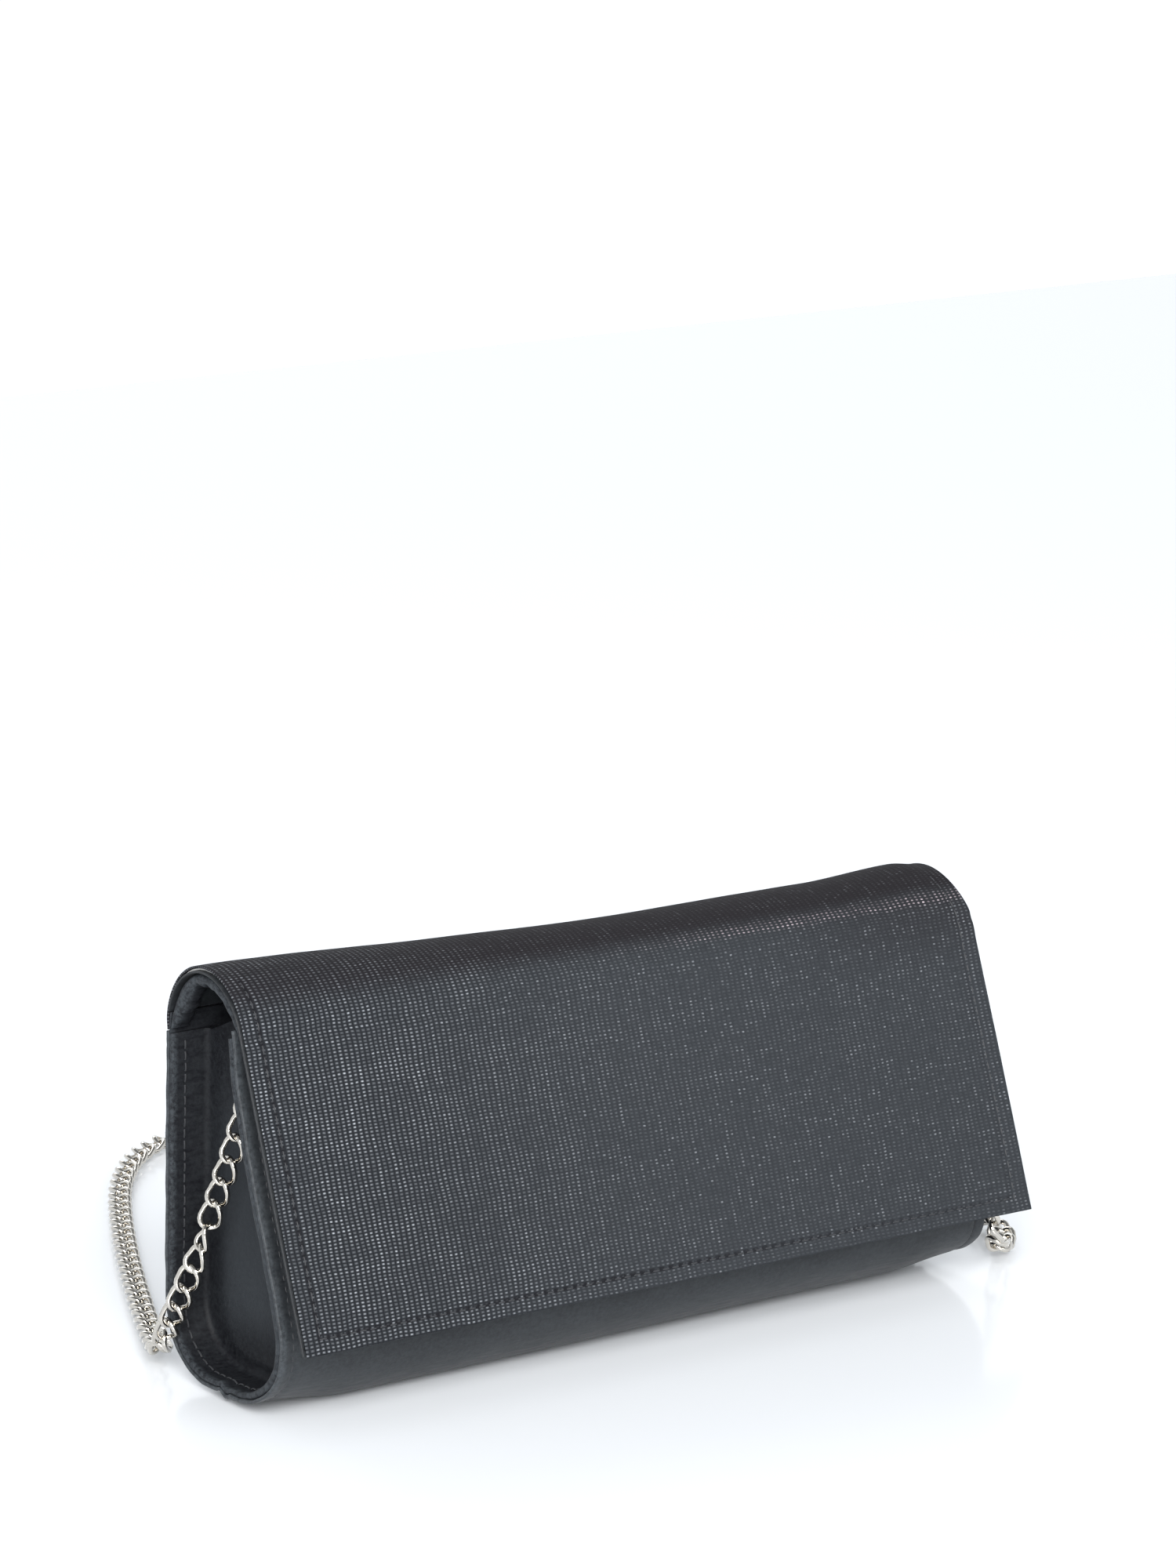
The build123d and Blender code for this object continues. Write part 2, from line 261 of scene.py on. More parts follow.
def sheet(name, outline, run_span, half, depths, relief, coarse=2.0, fine=0.7, margin=9.0):
    """A sheet of cloth with rolled edges, wrapped along an outline.

    relief(x, run, outer) is how far a point stands out along the outline's normal.
    """
    middle = (depths[0] + depths[1]) / 2
    roll = (depths[1] - depths[0]) / 2
    flat = half - roll
    xs = steps(-flat, flat, coarse, fine, margin)
    turns = [math.radians(angle) for angle in (30, 60, 90, 120, 150)]
    profile = [(x, -1.0) for x in xs]
    profile += [(flat + roll * math.sin(turn), -math.cos(turn)) for turn in turns]
    profile += [(x, 1.0) for x in reversed(xs)]
    profile += [(-flat - roll * math.sin(turn), math.cos(turn)) for turn in turns]
    low, high = run_span
    stations = [(low + roll * (1 - math.sin(turn)), math.cos(turn)) for turn in (1.45, 1.0, 0.5)]
    stations += [(run, 1.0) for run in steps(low + roll, high - roll, coarse, fine, margin)]
    stations += [(high - roll * (1 - math.sin(turn)), math.cos(turn)) for turn in (0.5, 1.0, 1.45)]
    loops = []
    for run, squeeze in stations:
        loop = []
        spot, normal = outline.at(run), outline.normal(run)
        for x, side in profile:
            place = spot - normal * (middle + side * roll * squeeze - relief(x, run, side < 0))
            loop.append(in_space(place, x))
        loops.append(loop)
    return loft(name, loops)


def circle(count):
    """Cosines and sines of even steps round a full turn."""
    turns = [2 * math.pi * step / count for step in range(count)]
    return [(math.cos(turn), math.sin(turn)) for turn in turns]


def tube(name, line, radius, sides=10, closed=False):
    """Round wire along a line of points."""
    return make_mesh(name, *tube_parts(line, radius, sides, closed))


def tube_parts(line, radius, sides=10, closed=False):
    """The points and faces of round wire along a line of points."""
    count = len(line)
    points, faces = [], []
    side = None
    for index, place in enumerate(line):
        before = line[index - 1] if index or closed else line[0]
        after = line[(index + 1) % count] if index < count - 1 or closed else line[-1]
        along = (after - before).normalized()
        if side is None:
            side = along.orthogonal().normalized()
        side = (side - along * side.dot(along)).normalized()
        across = along.cross(side)
        points += [place + (side * cosine + across * sine) * radius for cosine, sine in circle(sides)]
    for ring in range(count if closed else count - 1):
        offset = 0
        if ring == count - 1:
            start = points[0]
            gaps = [(start - points[ring * sides + step]).length for step in range(sides)]
            offset = gaps.index(min(gaps))
        following = (ring + 1) % count
        for step in range(sides):
            after = (step + 1) % sides
            if ring == count - 1:
                here, there = (step + offset) % sides, (after + offset) % sides
            else:
                here, there = step, after
            low, high = ring * sides, following * sides
            faces.append((low + here, low + there, high + after, high + step))
    if not closed:
        faces.append(tuple(range(sides)))
        faces.append(tuple(range(len(points) - sides, len(points))))
    return points, faces


def crisp(profile, margin=0.15):
    """A profile with extra points near the ends of its long sides, so that flats are shaded flat."""
    found = [profile[0]]
    for before, after in zip(profile, profile[1:]):
        before, after = Vector(before), Vector(after)
        span = (after - before).length
        if span > 3 * margin:
            found += [before.lerp(after, margin / span), after.lerp(before, margin / span)]
        found.append(after)
    return found


def lathe(name, profile, centre, axis, sides=72):
    """A turned piece: (radius, height) points spun about an axis."""
    axis = axis.normalized()
    side = axis.orthogonal().normalized()
    across = axis.cross(side)
    loops = []
    for radius, height in crisp(profile):
        middle = centre + axis * height
        spokes = [side * cosine + across * sine for cosine, sine in circle(sides)]
        loops.append([middle + spoke * radius for spoke in spokes])
    return loft(name, loops)


def copies(name, template, places):
    """Many copies of one small shape, each in its own place, in one mesh."""
    base_points, base_faces = template
    points, faces = [], []
    for matrix in places:
        start = len(points)
        points += [matrix @ point for point in base_points]
        faces += [tuple(start + index for index in face) for face in base_faces]
    return make_mesh(name, points, faces)


def frame_at(place, along, out):
    """The matrix that puts a shape's Y along a direction and its Z outward."""
    along = along.normalized()
    out = (out - along * out.dot(along)).normalized()
    across = along.cross(out)
    turn = Matrix((across, along, out)).transposed().to_4x4()
    return Matrix.Translation(place) @ turn


# ---- stitches -----------------------------------------------------------------
def thread_shape():
    """One stitch of thread: a rounded bar that dips at both ends."""
    line = []
    for share in (-0.5, -0.42, -0.2, 0.0, 0.2, 0.42, 0.5):
        dip = 0.5 * STITCH_WIDTH * (abs(share) * 2) ** 3
        line.append(Vector((0, share * STITCH_LENGTH, -dip)))
    return tube_parts(line, STITCH_WIDTH / 2, sides=6)


def path_of(corners, step=0.5):
    """A finely stepped line through a few (x, run) corners."""
    found = [Vector(corners[0])]
    for before, after in zip(corners, corners[1:]):
        before, after = Vector(before), Vector(after)
        count = max(1, round((after - before).length / step))
        found += [before.lerp(after, index / count) for index in range(1, count + 1)]
    return found


def stitch_row(surface, corners):
    """Places of stitches through (x, run) corners. surface maps x and run to a point and its normal."""
    spots = [surface(x, run) for x, run in path_of(corners)]
    places = []
    travelled = 0.0
    next_stitch = STITCH_PITCH / 2
    for (here, out), (there, _) in zip(spots, spots[1:]):
        step = (there - here).length
        while travelled + step >= next_stitch:
            share = (next_stitch - travelled) / step
            places.append(frame_at(here.lerp(there, share), there - here, out))
            next_stitch += STITCH_PITCH
        travelled += step
    return places


def sew(name, rows, hold, settle=None):
    """Rows of stitches as one piece. settle moves it like the cloth that it is sewn in."""
    piece = copies(name, thread_shape(), rows)
    if settle:
        settle(piece)
    fit(piece, THREAD, hold)


def surface_of(outline, depth_at, facing=1):
    """The map from x and run to a point on a sheet and its normal, which a facing of -1 turns inward."""

    def place(x, run):
        spot = outline.at(run, depth_at(x, run))
        return in_space(spot, x), in_space(outline.normal(run) * facing)

    return place


# ---- how the cloth stands and puckers -------------------------------------------
def bump(distance, width):
    """A smooth hill one high, so many millimetres wide."""
    return math.exp(-((distance / width) ** 2))


def smooth(value, low, high):
    """0 below one number, 1 above another, and a smooth climb between them."""
    share = max(0.0, min(1.0, (value - low) / (high - low)))
    return share * share * (3 - 2 * share)


def plateau(value, start, full, fade, end):
    """0 up to start, 1 from full to fade and 0 again from end on, with smooth slopes."""
    return smooth(value, start, full) * smooth(-value, -end, -fade)


def groove(distance, along):
    """The dent of a row of stitches, with a pucker at each one."""
    pucker = 0.5 + 0.5 * math.cos(2 * math.pi * along / STITCH_PITCH)
    return -0.2 * bump(distance, 0.8) - 0.1 * bump(distance, 1.8) * pucker


FLAP_SIDE_ROW = FLAP_HALF - 5.6
FLAP_LOWER_ROW = FLAP.length - 4.2
FLAP_ROW_START = FOLD_END - 16.0
BODY_SIDE_ROW = BODY_HALF - 4.0
BACK_SEAM_RUN = 4.0
MOUTH_PINCH = 3.8


def flap_relief(x, run, outer):
    """The flap's sag along its ridge, the board's edge below the fold, the hem and its stitches."""
    ridge = math.sin(math.pi * min(run / FOLD_END, 1.0))
    sag = 4.8 * smooth(x, -125, 20) - 1.6 * smooth(x, 80, 116) + 1.0 * smooth(x, 112, 121)
    out = ridge * (0.8 - sag)
    out += 0.35 * ripple(x, run, 60, 1.3) + 0.12 * ripple(x, run, 17, 4.1) - 0.45 * bump(run, 2.5)
    if outer:
        out -= 0.30 * bump(run - FOLD_END - 1.5, 1.3)
        out += 0.18 * bump(run - FOLD_END - 4.5, 2.2)
    side = abs(x) - FLAP_SIDE_ROW
    if FLAP_ROW_START < run < FLAP_LOWER_ROW + 1 and abs(side) < 6:
        out += groove(side, run) * (1 if outer else 0.3)
    lower = run - FLAP_LOWER_ROW
    if abs(x) < FLAP_SIDE_ROW + 1 and abs(lower) < 6:
        out += groove(lower, x) * (1 if outer else 0.3)
    out += 0.4 * ripple(x, run, 28, 9.7) * max(0.0, 1 - (FLAP.length - run) / 18)
    return out


def bottom_lift(x, run):
    """How far the bottom stands off the floor: the front's edge towards the right, and the end rims."""
    past = run - BOTTOM_MIDDLE
    front = plateau(past, -4, 8, REST_HALF + 12, REST_HALF + 30)
    around = plateau(past, -40, -6, 12, 42)
    end = 2.2 if x < 0 else 2.6
    return 1.7 * front * smooth(x, -100, 110) + end * around * smooth(abs(x), 92, 117)


def mouth_pinch(x, run):
    """The ends of the front are drawn in towards the gussets, most of all a little below the top."""
    top = BODY.length
    upper = smooth(run, STRIP_END + 30, top - 18) - 0.5 * smooth(run, top - 15, top)
    return MOUTH_PINCH * upper * smooth(abs(x), 107, 119)


def off_the_floor(run):
    """0 in the middle of the bottom, where the cloth is pressed flat, and 1 from there on."""
    return min(abs(run - BOTTOM_MIDDLE) / 14, 1.0)


def rim_waver(x, run):
    """The end rims are sewn by hand and run a little unevenly."""
    near = smooth(abs(x), 108, 118) * off_the_floor(run)
    side = 3.0 if x > 0 else 8.0
    waver = 0.4 * ripple(side, run, 7, 2.7) + 0.35 * ripple(side, run, 24, 6.1)
    past = run - BOTTOM_MIDDLE - 1.5
    nick = 0.9 * bump(past, 1.4) - 0.6 * bump(past + 3, 1.2)
    return near * waver + smooth(abs(x), 114, 119) * nick


def settled(x, run):
    """How far below its outline the body's cloth lies."""
    return bottom_lift(x, run) + mouth_pinch(x, run) - rim_waver(x, run)


def body_relief(x, run, outer):
    """The cover's slight unevenness and the puckers of its end seams."""
    free = off_the_floor(run)
    out = free * (0.22 * ripple(x, run, 45, 2.2) + 0.1 * ripple(x, run, 13, 7.9)) - settled(x, run)
    side = abs(x) - BODY_SIDE_ROW
    if abs(side) < 6:
        out += groove(side, run) * free * 1.6
    if run < BACK_SEAM_RUN + 5:
        out += groove(run - BACK_SEAM_RUN, x) - 0.3 * bump(run, 3.0)
    return out


def lining_relief(x, run, outer):
    """The lining follows the cover and lies a little loose."""
    return 0.15 * ripple(x, run, 22, 5.5) - 0.15 - settled(x, run)


def board_relief(x, run, outer):
    """The board in the bottom follows the cover."""
    return -settled(x, run)


# ---- values over a piece, made by shader nodes -------------------------------------
class Signal:
    """A value that varies over a piece. Arithmetic on it adds nodes to its tree."""

    def __init__(self, socket):
        self.socket = socket

    def __add__(self, other):
        return combine("ADD", self, other)

    def __sub__(self, other):
        return combine("SUBTRACT", self, other)

    def __rsub__(self, other):
        return combine("SUBTRACT", other, self)

    def __mul__(self, other):
        return combine("MULTIPLY", self, other)

    def __abs__(self):
        return combine("ABSOLUTE", self)

    __radd__ = __add__
    __rmul__ = __mul__

    def larger(self, other):
        return combine("MAXIMUM", self, other)

    def ramp(self, low, high, to_low=0.0, to_high=1.0):
        """A smooth climb from one value to another between two of this signal's."""
        made = self.socket.id_data.nodes.new("ShaderNodeMapRange")
        made.interpolation_type = "SMOOTHSTEP"
        feed(self, made.inputs["Value"])
        set_inputs(made, From_Min=low, From_Max=high, To_Min=to_low, To_Max=to_high)
        return Signal(made.outputs["Result"])


def set_inputs(node, **values):
    """Fill a node's inputs. An underscore stands for the space in an input's name."""
    for name, value in values.items():
        node.inputs[name.replace("_", " ")].default_value = value


def feed(value, socket):
    """Send a signal, a number or a colour to a socket."""
    if isinstance(value, Signal):
        socket.id_data.links.new(value.socket, socket)
    elif isinstance(value, tuple):
        socket.default_value = (*value, 1)
    else:
        socket.default_value = value


def combine(operation, *values):
    """A math node on signals and plain numbers."""
    tree = next(value.socket.id_data for value in values if isinstance(value, Signal))
    made = tree.nodes.new("ShaderNodeMath")
    made.operation = operation
    for value, socket in zip(values, made.inputs):
        feed(value, socket)
    return Signal(made.outputs[0])


class Finish:
    """One material: its shader, and the values that it is built from. x, y and z are in millimetres."""

    def __init__(self, name, color, roughness, **constants):
        self.material = bpy.data.materials.new(name)
        self.material.use_nodes = True
        self.tree = self.material.node_tree
        self.shader = self.tree.nodes["Principled BSDF"]
        set_inputs(self.shader, Base_Color=(*color, 1), Roughness=roughness, **constants)
        self.place = Signal(self.node("ShaderNodeTexCoord").outputs["Object"])
        parts = self.node("ShaderNodeSeparateXYZ")
        feed(self.place, parts.inputs[0])
        self.x, self.y, self.z = (Signal(output) * (1 / MM) for output in parts.outputs)

    def node(self, kind, **settings):
        made = self.tree.nodes.new(kind)
        for key, value in settings.items():
            setattr(made, key, value)
        return made

    def noise(self, size, detail=2.0, roughness=0.5, stretch=(1, 1, 1)):
        """Noise with features about so many millimetres across."""
        place = self.node("ShaderNodeMapping")
        set_inputs(place, Scale=[1 / (size * MM * part) for part in stretch])
        feed(self.place, place.inputs["Vector"])
        made = self.node("ShaderNodeTexNoise")
        set_inputs(made, Scale=1.0, Detail=detail, Roughness=roughness)
        feed(Signal(place.outputs[0]), made.inputs["Vector"])
        return Signal(made.outputs["Fac"])

    def grid(self, kind, across, along, **constants):
        """A two-dimensional noise, read at a pair of signals."""
        place = self.node("ShaderNodeCombineXYZ")
        feed(across, place.inputs[0])
        feed(along, place.inputs[1])
        made = self.node(kind, noise_dimensions="2D")
        set_inputs(made, **constants)
        feed(Signal(place.outputs[0]), made.inputs["Vector"])
        return Signal(made.outputs[0])

    def chance(self, number):
        """A random number from 0 to 1 for each whole number."""
        made = self.node("ShaderNodeTexWhiteNoise", noise_dimensions="1D")
        feed(number, made.inputs["W"])
        return Signal(made.outputs[0])

    def mix(self, share, first, second):
        made = self.node("ShaderNodeMix", data_type="RGBA")
        feed(share, made.inputs["Factor"])
        feed(first, made.inputs[6])
        feed(second, made.inputs[7])
        return Signal(made.outputs[2])

    def color(self, value):
        feed(value, self.shader.inputs["Base Color"])

    def roughness(self, value):
        feed(value, self.shader.inputs["Roughness"])

    def bump(self, height, distance, strength=1.0):
        made = self.node("ShaderNodeBump")
        set_inputs(made, Distance=distance * MM, Strength=strength)
        feed(height, made.inputs["Height"])
        feed(Signal(made.outputs[0]), self.shader.inputs["Normal"])


# ---- materials ------------------------------------------------------------------
def satin(name, dark, light, sheen, specular=0.3, rim=0.0, front=0.0):
    """Dark satin: a soft gloss, a faint slub along the bag and a fine mottle.

    rim is how much paler it is painted along its end rims, a painted highlight where the turned edge
    catches the light, and front how much paler it is painted low down towards the front, painted light on
    the lit front half of a gusset.
    """
    finish = Finish(name, dark, 0.5, Specular_IOR_Level=specular, Sheen_Weight=sheen, Sheen_Roughness=0.4)
    slub = finish.noise(1.0, 3.0, 0.6, stretch=(6, 1.2, 1.2))
    fuzz = finish.noise(1.2, 3.0, 0.75)
    shade = 0.4 * slub + 0.3 * finish.noise(26.0, 2.0) + 0.6 * fuzz
    # The rims' painted highlight, broken up by the mottle into thin bright spots.
    rim_highlight_mottle = fuzz.ramp(0.35, 0.65, 0.2, 1.3)
    ends = abs(finish.x).ramp(BODY_HALF - 1.0, BODY_HALF + 0.6, 0.0, rim) * rim_highlight_mottle
    # Painted light: paler low down towards the front, where a gusset's front half faces the light.
    painted_front_light = finish.y.ramp(26, 10, 0.0, front) * finish.z.ramp(10, 26) * finish.z.ramp(95, 55)
    cloth = finish.mix(shade.ramp(0.42, 0.88), dark, light)
    # The painted rim highlight and the painted front light both mix in one paler satin colour.
    finish.color(finish.mix(ends.larger(painted_front_light), cloth, (0.066, 0.076, 0.086)))
    finish.roughness(slub.ramp(0.2, 0.8, 0.45, 0.65))
    finish.bump(0.5 * finish.noise(0.45, 2.0, 0.6, stretch=(3, 1, 1)) + slub, 0.06, 0.7)
    return finish.material


def stitch_dash(along):
    """The strength of a row of stitches along it: weaker between the stitches."""
    wave = combine("SINE", along * (2 * math.pi / STITCH_PITCH))
    return wave.ramp(-0.8, 0.4, 0.2, 0.85)


def mesh_seam(x, run):
    """1 along the rows of stitches near the flap's side and lower edges, where the cloth is drawn in."""
    lower = run - FLAP_LOWER_ROW
    side = abs(abs(x) - FLAP_SIDE_ROW).ramp(0.3, 1.0, 1.0, 0.0)
    side = side * stitch_dash(run) * x.ramp(-50, 80, 1.0, 0.25)
    side = side * combine("GREATER_THAN", run, FLAP_ROW_START) * combine("LESS_THAN", lower, 0.6)
    low = abs(lower).ramp(0.3, 1.0, 1.0, 0.0) * stitch_dash(x) * x.ramp(-20, 100, 1.0, 0.5)
    return side.larger(low * combine("LESS_THAN", abs(x), FLAP_SIDE_ROW + 0.5))


def flap_run(finish):
    """The run down the flap's cloth: round the fold, then along the straight front."""
    over_y = finish.y - FOLD_CENTRE.x
    over_z = finish.z - FOLD_CENTRE.y
    angle = combine("WRAP", combine("ARCTAN2", over_z, over_y), 1.5 * math.pi, -0.5 * math.pi)
    down = over_z * -math.cos(FLAP_LEAN) - over_y * math.sin(FLAP_LEAN)
    return FOLD_RADIUS * combine("MINIMUM", angle, math.pi - FLAP_LEAN) + down.larger(0.0)


def strand(finish, thread, along, rarity):
    """Here and there a length of one thread that shines."""
    across = combine("FLOOR", thread) * 7.31
    shine = finish.grid("ShaderNodeTexNoise", across, along * 0.17, Scale=1.0, Detail=1.0)
    return shine.ramp(rarity, rarity + 0.12, 0.0, 0.34)


KNOT_COLUMNS = 1.67
KNOT_ROWS = 0.99
KNOT_SPREAD = 0.27 ** 2


def mesh_cloth():
    """The flap's mesh: rows of small bright knots on a dark open weave, uneven from thread to thread, with
    painted light that dims from left to right, painted shade over the fold and a painted highlight along
    the crease.
    """
    finish = Finish("mesh_cloth", (0.03, 0.032, 0.036), 0.75, Specular_IOR_Level=0.12)
    x = finish.x
    run = flap_run(finish)
    seam = mesh_seam(x, run)
    # Threads wander a little.
    row = run * (1 / KNOT_ROWS) + finish.noise(9.0, 2.0) * 1.2
    column = x * (1 / KNOT_COLUMNS) + finish.noise(14.0, 1.0)
    run = row * KNOT_ROWS
    across = combine("FRACT", column) - 0.5
    along = combine("FRACT", row) - 0.5
    knot = (across * across + along * along).ramp(1.15 * KNOT_SPREAD, 0.35 * KNOT_SPREAD)
    gap = abs(across).larger(abs(along)).ramp(0.30, 0.46)
    # How bright each knot is: by knot, by thread, by patch of the cloth, and by painted light that falls
    # off from the left to the right of the flap.
    row_number = combine("FLOOR", row)
    column_number = combine("FLOOR", column)
    each = finish.grid("ShaderNodeTexWhiteNoise", column_number, row_number)
    thread = (finish.chance(row_number) + finish.chance(column_number)).ramp(0.2, 1.8, 0.45, 1.0)
    patch = finish.noise(22.0, 5.0, 0.7).ramp(0.3, 0.72, 0.35, 1.0)
    # Painted highlight: a band of brighter, pinker knots along the crease near the end of the fold, on the
    # right half.
    crease = abs(run - (FOLD_END - 5.5)).ramp(KNOT_ROWS, 3.2 * KNOT_ROWS, 1.0, 0.0) * x.ramp(-20, 50)
    edge = abs(x - (FLAP_HALF - 4.0)).ramp(1.5, 4.0, 0.45, 0.0)
    # Painted light: the knots are painted brightest at the left of the flap and dimmer towards the right,
    # and lifted in a band near the right edge and along the crease.
    painted_knot_light = x.ramp(-112, 30, 1.0, 0.2).larger(edge.larger(crease))
    lit = each.ramp(0.0, 1.0, 0.3, 1.0) * thread * patch * painted_knot_light
    lit = lit.larger(each.ramp(0.988, 0.998) * 0.36)
    lit = lit.larger(strand(finish, column, row, 0.55).larger(strand(finish, row, column, 0.6)) * each)
    # Painted shade over the top of the fold: the knots are dimmed and the ground is painted dark and warm,
    # a little less at the far left.
    painted_fold_shade = run.ramp(FOLD_END - 12.0, FOLD_END - 2.5, 0.85, 0.0) * x.ramp(-110, -20, 0.7, 1.0)
    lit = lit * (1.0 + painted_fold_shade * -0.6 + crease * 0.5) * (1.0 - seam)
    bright = knot * lit
    # The ground between the knots.
    ground = finish.mix(finish.noise(2.2, 3.0, 0.7), (0.019, 0.0215, 0.025), (0.035, 0.0385, 0.044))
    # The open weave's gaps are darkened most at the left and less towards the right, a contrast that
    # follows the painted light.
    ground = finish.mix(gap * x.ramp(-110, 20, 1.0, 0.22), ground, (0.008, 0.009, 0.0115))
    # Painted shade on the ground just below the fold, at the right end of the flap.
    corner = run.ramp(FOLD_END - 2.0, FOLD_END + 18.0, 0.4, 0.0) * x.ramp(40, 115)
    ground = finish.mix(painted_fold_shade.larger(corner), ground, (0.011, 0.009, 0.011))
    ground = finish.mix(seam, ground, (0.006, 0.006, 0.008))
    # The crease's painted highlight also tints its knots pink.
    knots = finish.mix(crease, (0.33, 0.35, 0.38), (0.40, 0.34, 0.37))
    finish.color(finish.mix(bright, ground, knots))
    finish.roughness(bright.ramp(0.0, 0.6, 0.8, 0.5))
    finish.bump(knot - gap, 0.10, 0.6)
    return finish.material


def lining_cloth():
    """Black lining: a plain close weave with a low gloss."""
    finish = Finish("lining_cloth", (0.016, 0.016, 0.018), 0.6, Specular_IOR_Level=0.35, Sheen_Weight=0.1)
    thread = finish.noise(0.5, 2.0, 0.6, stretch=(1, 4, 4))
    finish.color(finish.mix(finish.noise(18.0, 2.0), (0.012, 0.012, 0.014), (0.026, 0.026, 0.029)))
    finish.roughness(thread.ramp(0.2, 0.8, 0.5, 0.7))
    finish.bump(thread, 0.05, 0.6)
    return finish.material


def silver(name, tint, roughness):
    """Polished plated metal with faint handling marks."""
    finish = Finish(name, tint, roughness, Metallic=1.0)
    marks = finish.noise(1.6, 2.0, 0.5, stretch=(1, 1, 3))
    finish.color(finish.mix(marks.ramp(0.3, 0.8), tint, tuple(part * 0.88 for part in tint)))
    finish.roughness(marks.ramp(0.3, 0.8, roughness * 0.7, roughness * 1.5))
    finish.bump(marks, 0.006, 0.25)
    return finish.material


def fibrous(name, base, roughness, fibre, dark, light, depth, strength, **constants):
    """A dull material whose colour and surface follow one noise. fibre is that noise's arguments."""
    finish = Finish(name, base, roughness, **constants)
    lay = finish.noise(*fibre)
    finish.color(finish.mix(lay, dark, light))
    finish.bump(lay, depth, strength)
    return finish.material


def studio_white():
    """The floor: a smooth white sheet with a low gloss."""
    finish = Finish("studio_white", (0.87, 0.895, 0.93), 0.15, Specular_IOR_Level=0.28)
    finish.roughness(finish.noise(300.0, 1.0).ramp(0.0, 1.0, 0.12, 0.18))
    return finish.material


SATIN = satin("satin", (0.012, 0.014, 0.017), (0.031, 0.0355, 0.040), 0.03, rim=0.38)
# A darker copy of the satin, painted shade for the flap's lining in the shade under the flap.
SHADED_FLAP_SATIN = satin("flap_satin", (0.008, 0.009, 0.011), (0.020, 0.023, 0.026), 0.02)
# A darker copy of the satin, painted shade for the recessed ends and the parts tucked under the flap:
# gussets, fold-end rolls, hinge strip and tabs. Its front half is painted paler again as painted light, and
# its rims carry the painted rim highlight.
SHADED_SATIN = satin(
    "gusset_satin", (0.005, 0.005, 0.007), (0.017, 0.019, 0.022), 0.0, specular=0.14, rim=0.38, front=0.3
)
MESH = mesh_cloth()
LINING_CLOTH = lining_cloth()
SILVER = silver("silver", (0.66, 0.65, 0.62), 0.16)
CHAIN_SILVER = silver("chain_silver", (0.60, 0.57, 0.52), 0.10)
THREAD = fibrous(
    "thread",
    (0.02, 0.02, 0.023),
    roughness=0.55,
    fibre=(0.3, 1.0),
    dark=(0.016, 0.017, 0.02),
    light=(0.045, 0.047, 0.052),
    depth=0.04,
    strength=0.5,
    Specular_IOR_Level=0.4,
)
CARD = fibrous(
    "card",
    (0.03, 0.029, 0.028),
    roughness=0.85,
    fibre=(1.5, 3.0, 0.6, (4, 1, 1)),
    dark=(0.02, 0.02, 0.019),
    light=(0.05, 0.048, 0.045),
    depth=0.05,
    strength=0.5,
)
WADDING = fibrous(
    "wadding",
    (0.5, 0.5, 0.5),
    roughness=0.95,
    fibre=(2.0, 4.0, 0.7),
    dark=(0.4, 0.4, 0.4),
    light=(0.62, 0.62, 0.61),
    depth=0.3,
    strength=0.8,
)


# ---- the camera and the studio ----------------------------------------------------
LENS_LENGTH = 196.48
CAMERA_PLACE = (-0.98313, -1.43255, 0.55281)
CAMERA_DOWN = 12.8316
CAMERA_TURN = 34.4346


def make_camera():
    """A long lens from the left of the front and a little above."""
    data = bpy.data.cameras.new("camera")
    data.sensor_fit = "HORIZONTAL"
    data.sensor_width = 36.0
    data.lens = LENS_LENGTH
    data.clip_start = 0.05
    data.clip_end = 60.0
    camera = add_object("camera", data)
    camera.location = CAMERA_PLACE
    camera.rotation_euler = (math.radians(90 - CAMERA_DOWN), 0, -math.radians(CAMERA_TURN))
    bpy.context.scene.camera = camera


def softbox(name, place, target, size, power, tint=(1, 1, 1)):
    """A square soft light at a place, aimed at a point, in metres and watts."""
    data = bpy.data.lights.new(name, "AREA")
    data.shape = "SQUARE"
    data.size = size
    data.energy = power
    data.color = tint
    light = add_object(name, data)
    light.location = place
    light.rotation_euler = (Vector(target) - Vector(place)).to_track_quat("-Z", "Y").to_euler()


def make_studio():
    """A pale floor, a white surround and three soft lights."""
    reach = 1.5 / MM
    corners = [(-reach, -reach, 0), (reach, -reach, 0), (reach, reach, 0), (-reach, reach, 0)]
    floor = make_mesh("floor", corners, [(0, 1, 2, 3)])
    floor.data.materials.append(studio_white())
    make_surround()
    bpy.context.scene.view_settings.view_transform = "Standard"
    softbox("key", (-1.5, -2.3, 1.5), (0, 0, 0.05), 1.8, 142, (1.0, 0.99, 0.97))
    softbox("fill", (0.7, -2.5, 1.9), (0.1, -0.1, 0), 2.0, 26)
    softbox("far", (0.6, 3.4, 2.2), (0.3, 2.2, 0), 2.2, 40)


def make_surround():
    """A white surround that is darker overhead."""
    world = bpy.data.worlds.new("studio")
    world.use_nodes = True
    tree = world.node_tree
    direction = tree.nodes.new("ShaderNodeTexCoord")
    parts = tree.nodes.new("ShaderNodeSeparateXYZ")
    height = tree.nodes.new("ShaderNodeMapRange")
    set_inputs(height, From_Min=0.45, From_Max=0.75, To_Min=1.09, To_Max=0.3)
    tree.links.new(direction.outputs["Generated"], parts.inputs[0])
    tree.links.new(parts.outputs["Z"], height.inputs["Value"])
    background = tree.nodes["Background"]
    set_inputs(background, Color=(0.93, 0.965, 1.0, 1))
    tree.links.new(height.outputs[0], background.inputs["Strength"])
    bpy.context.scene.world = world


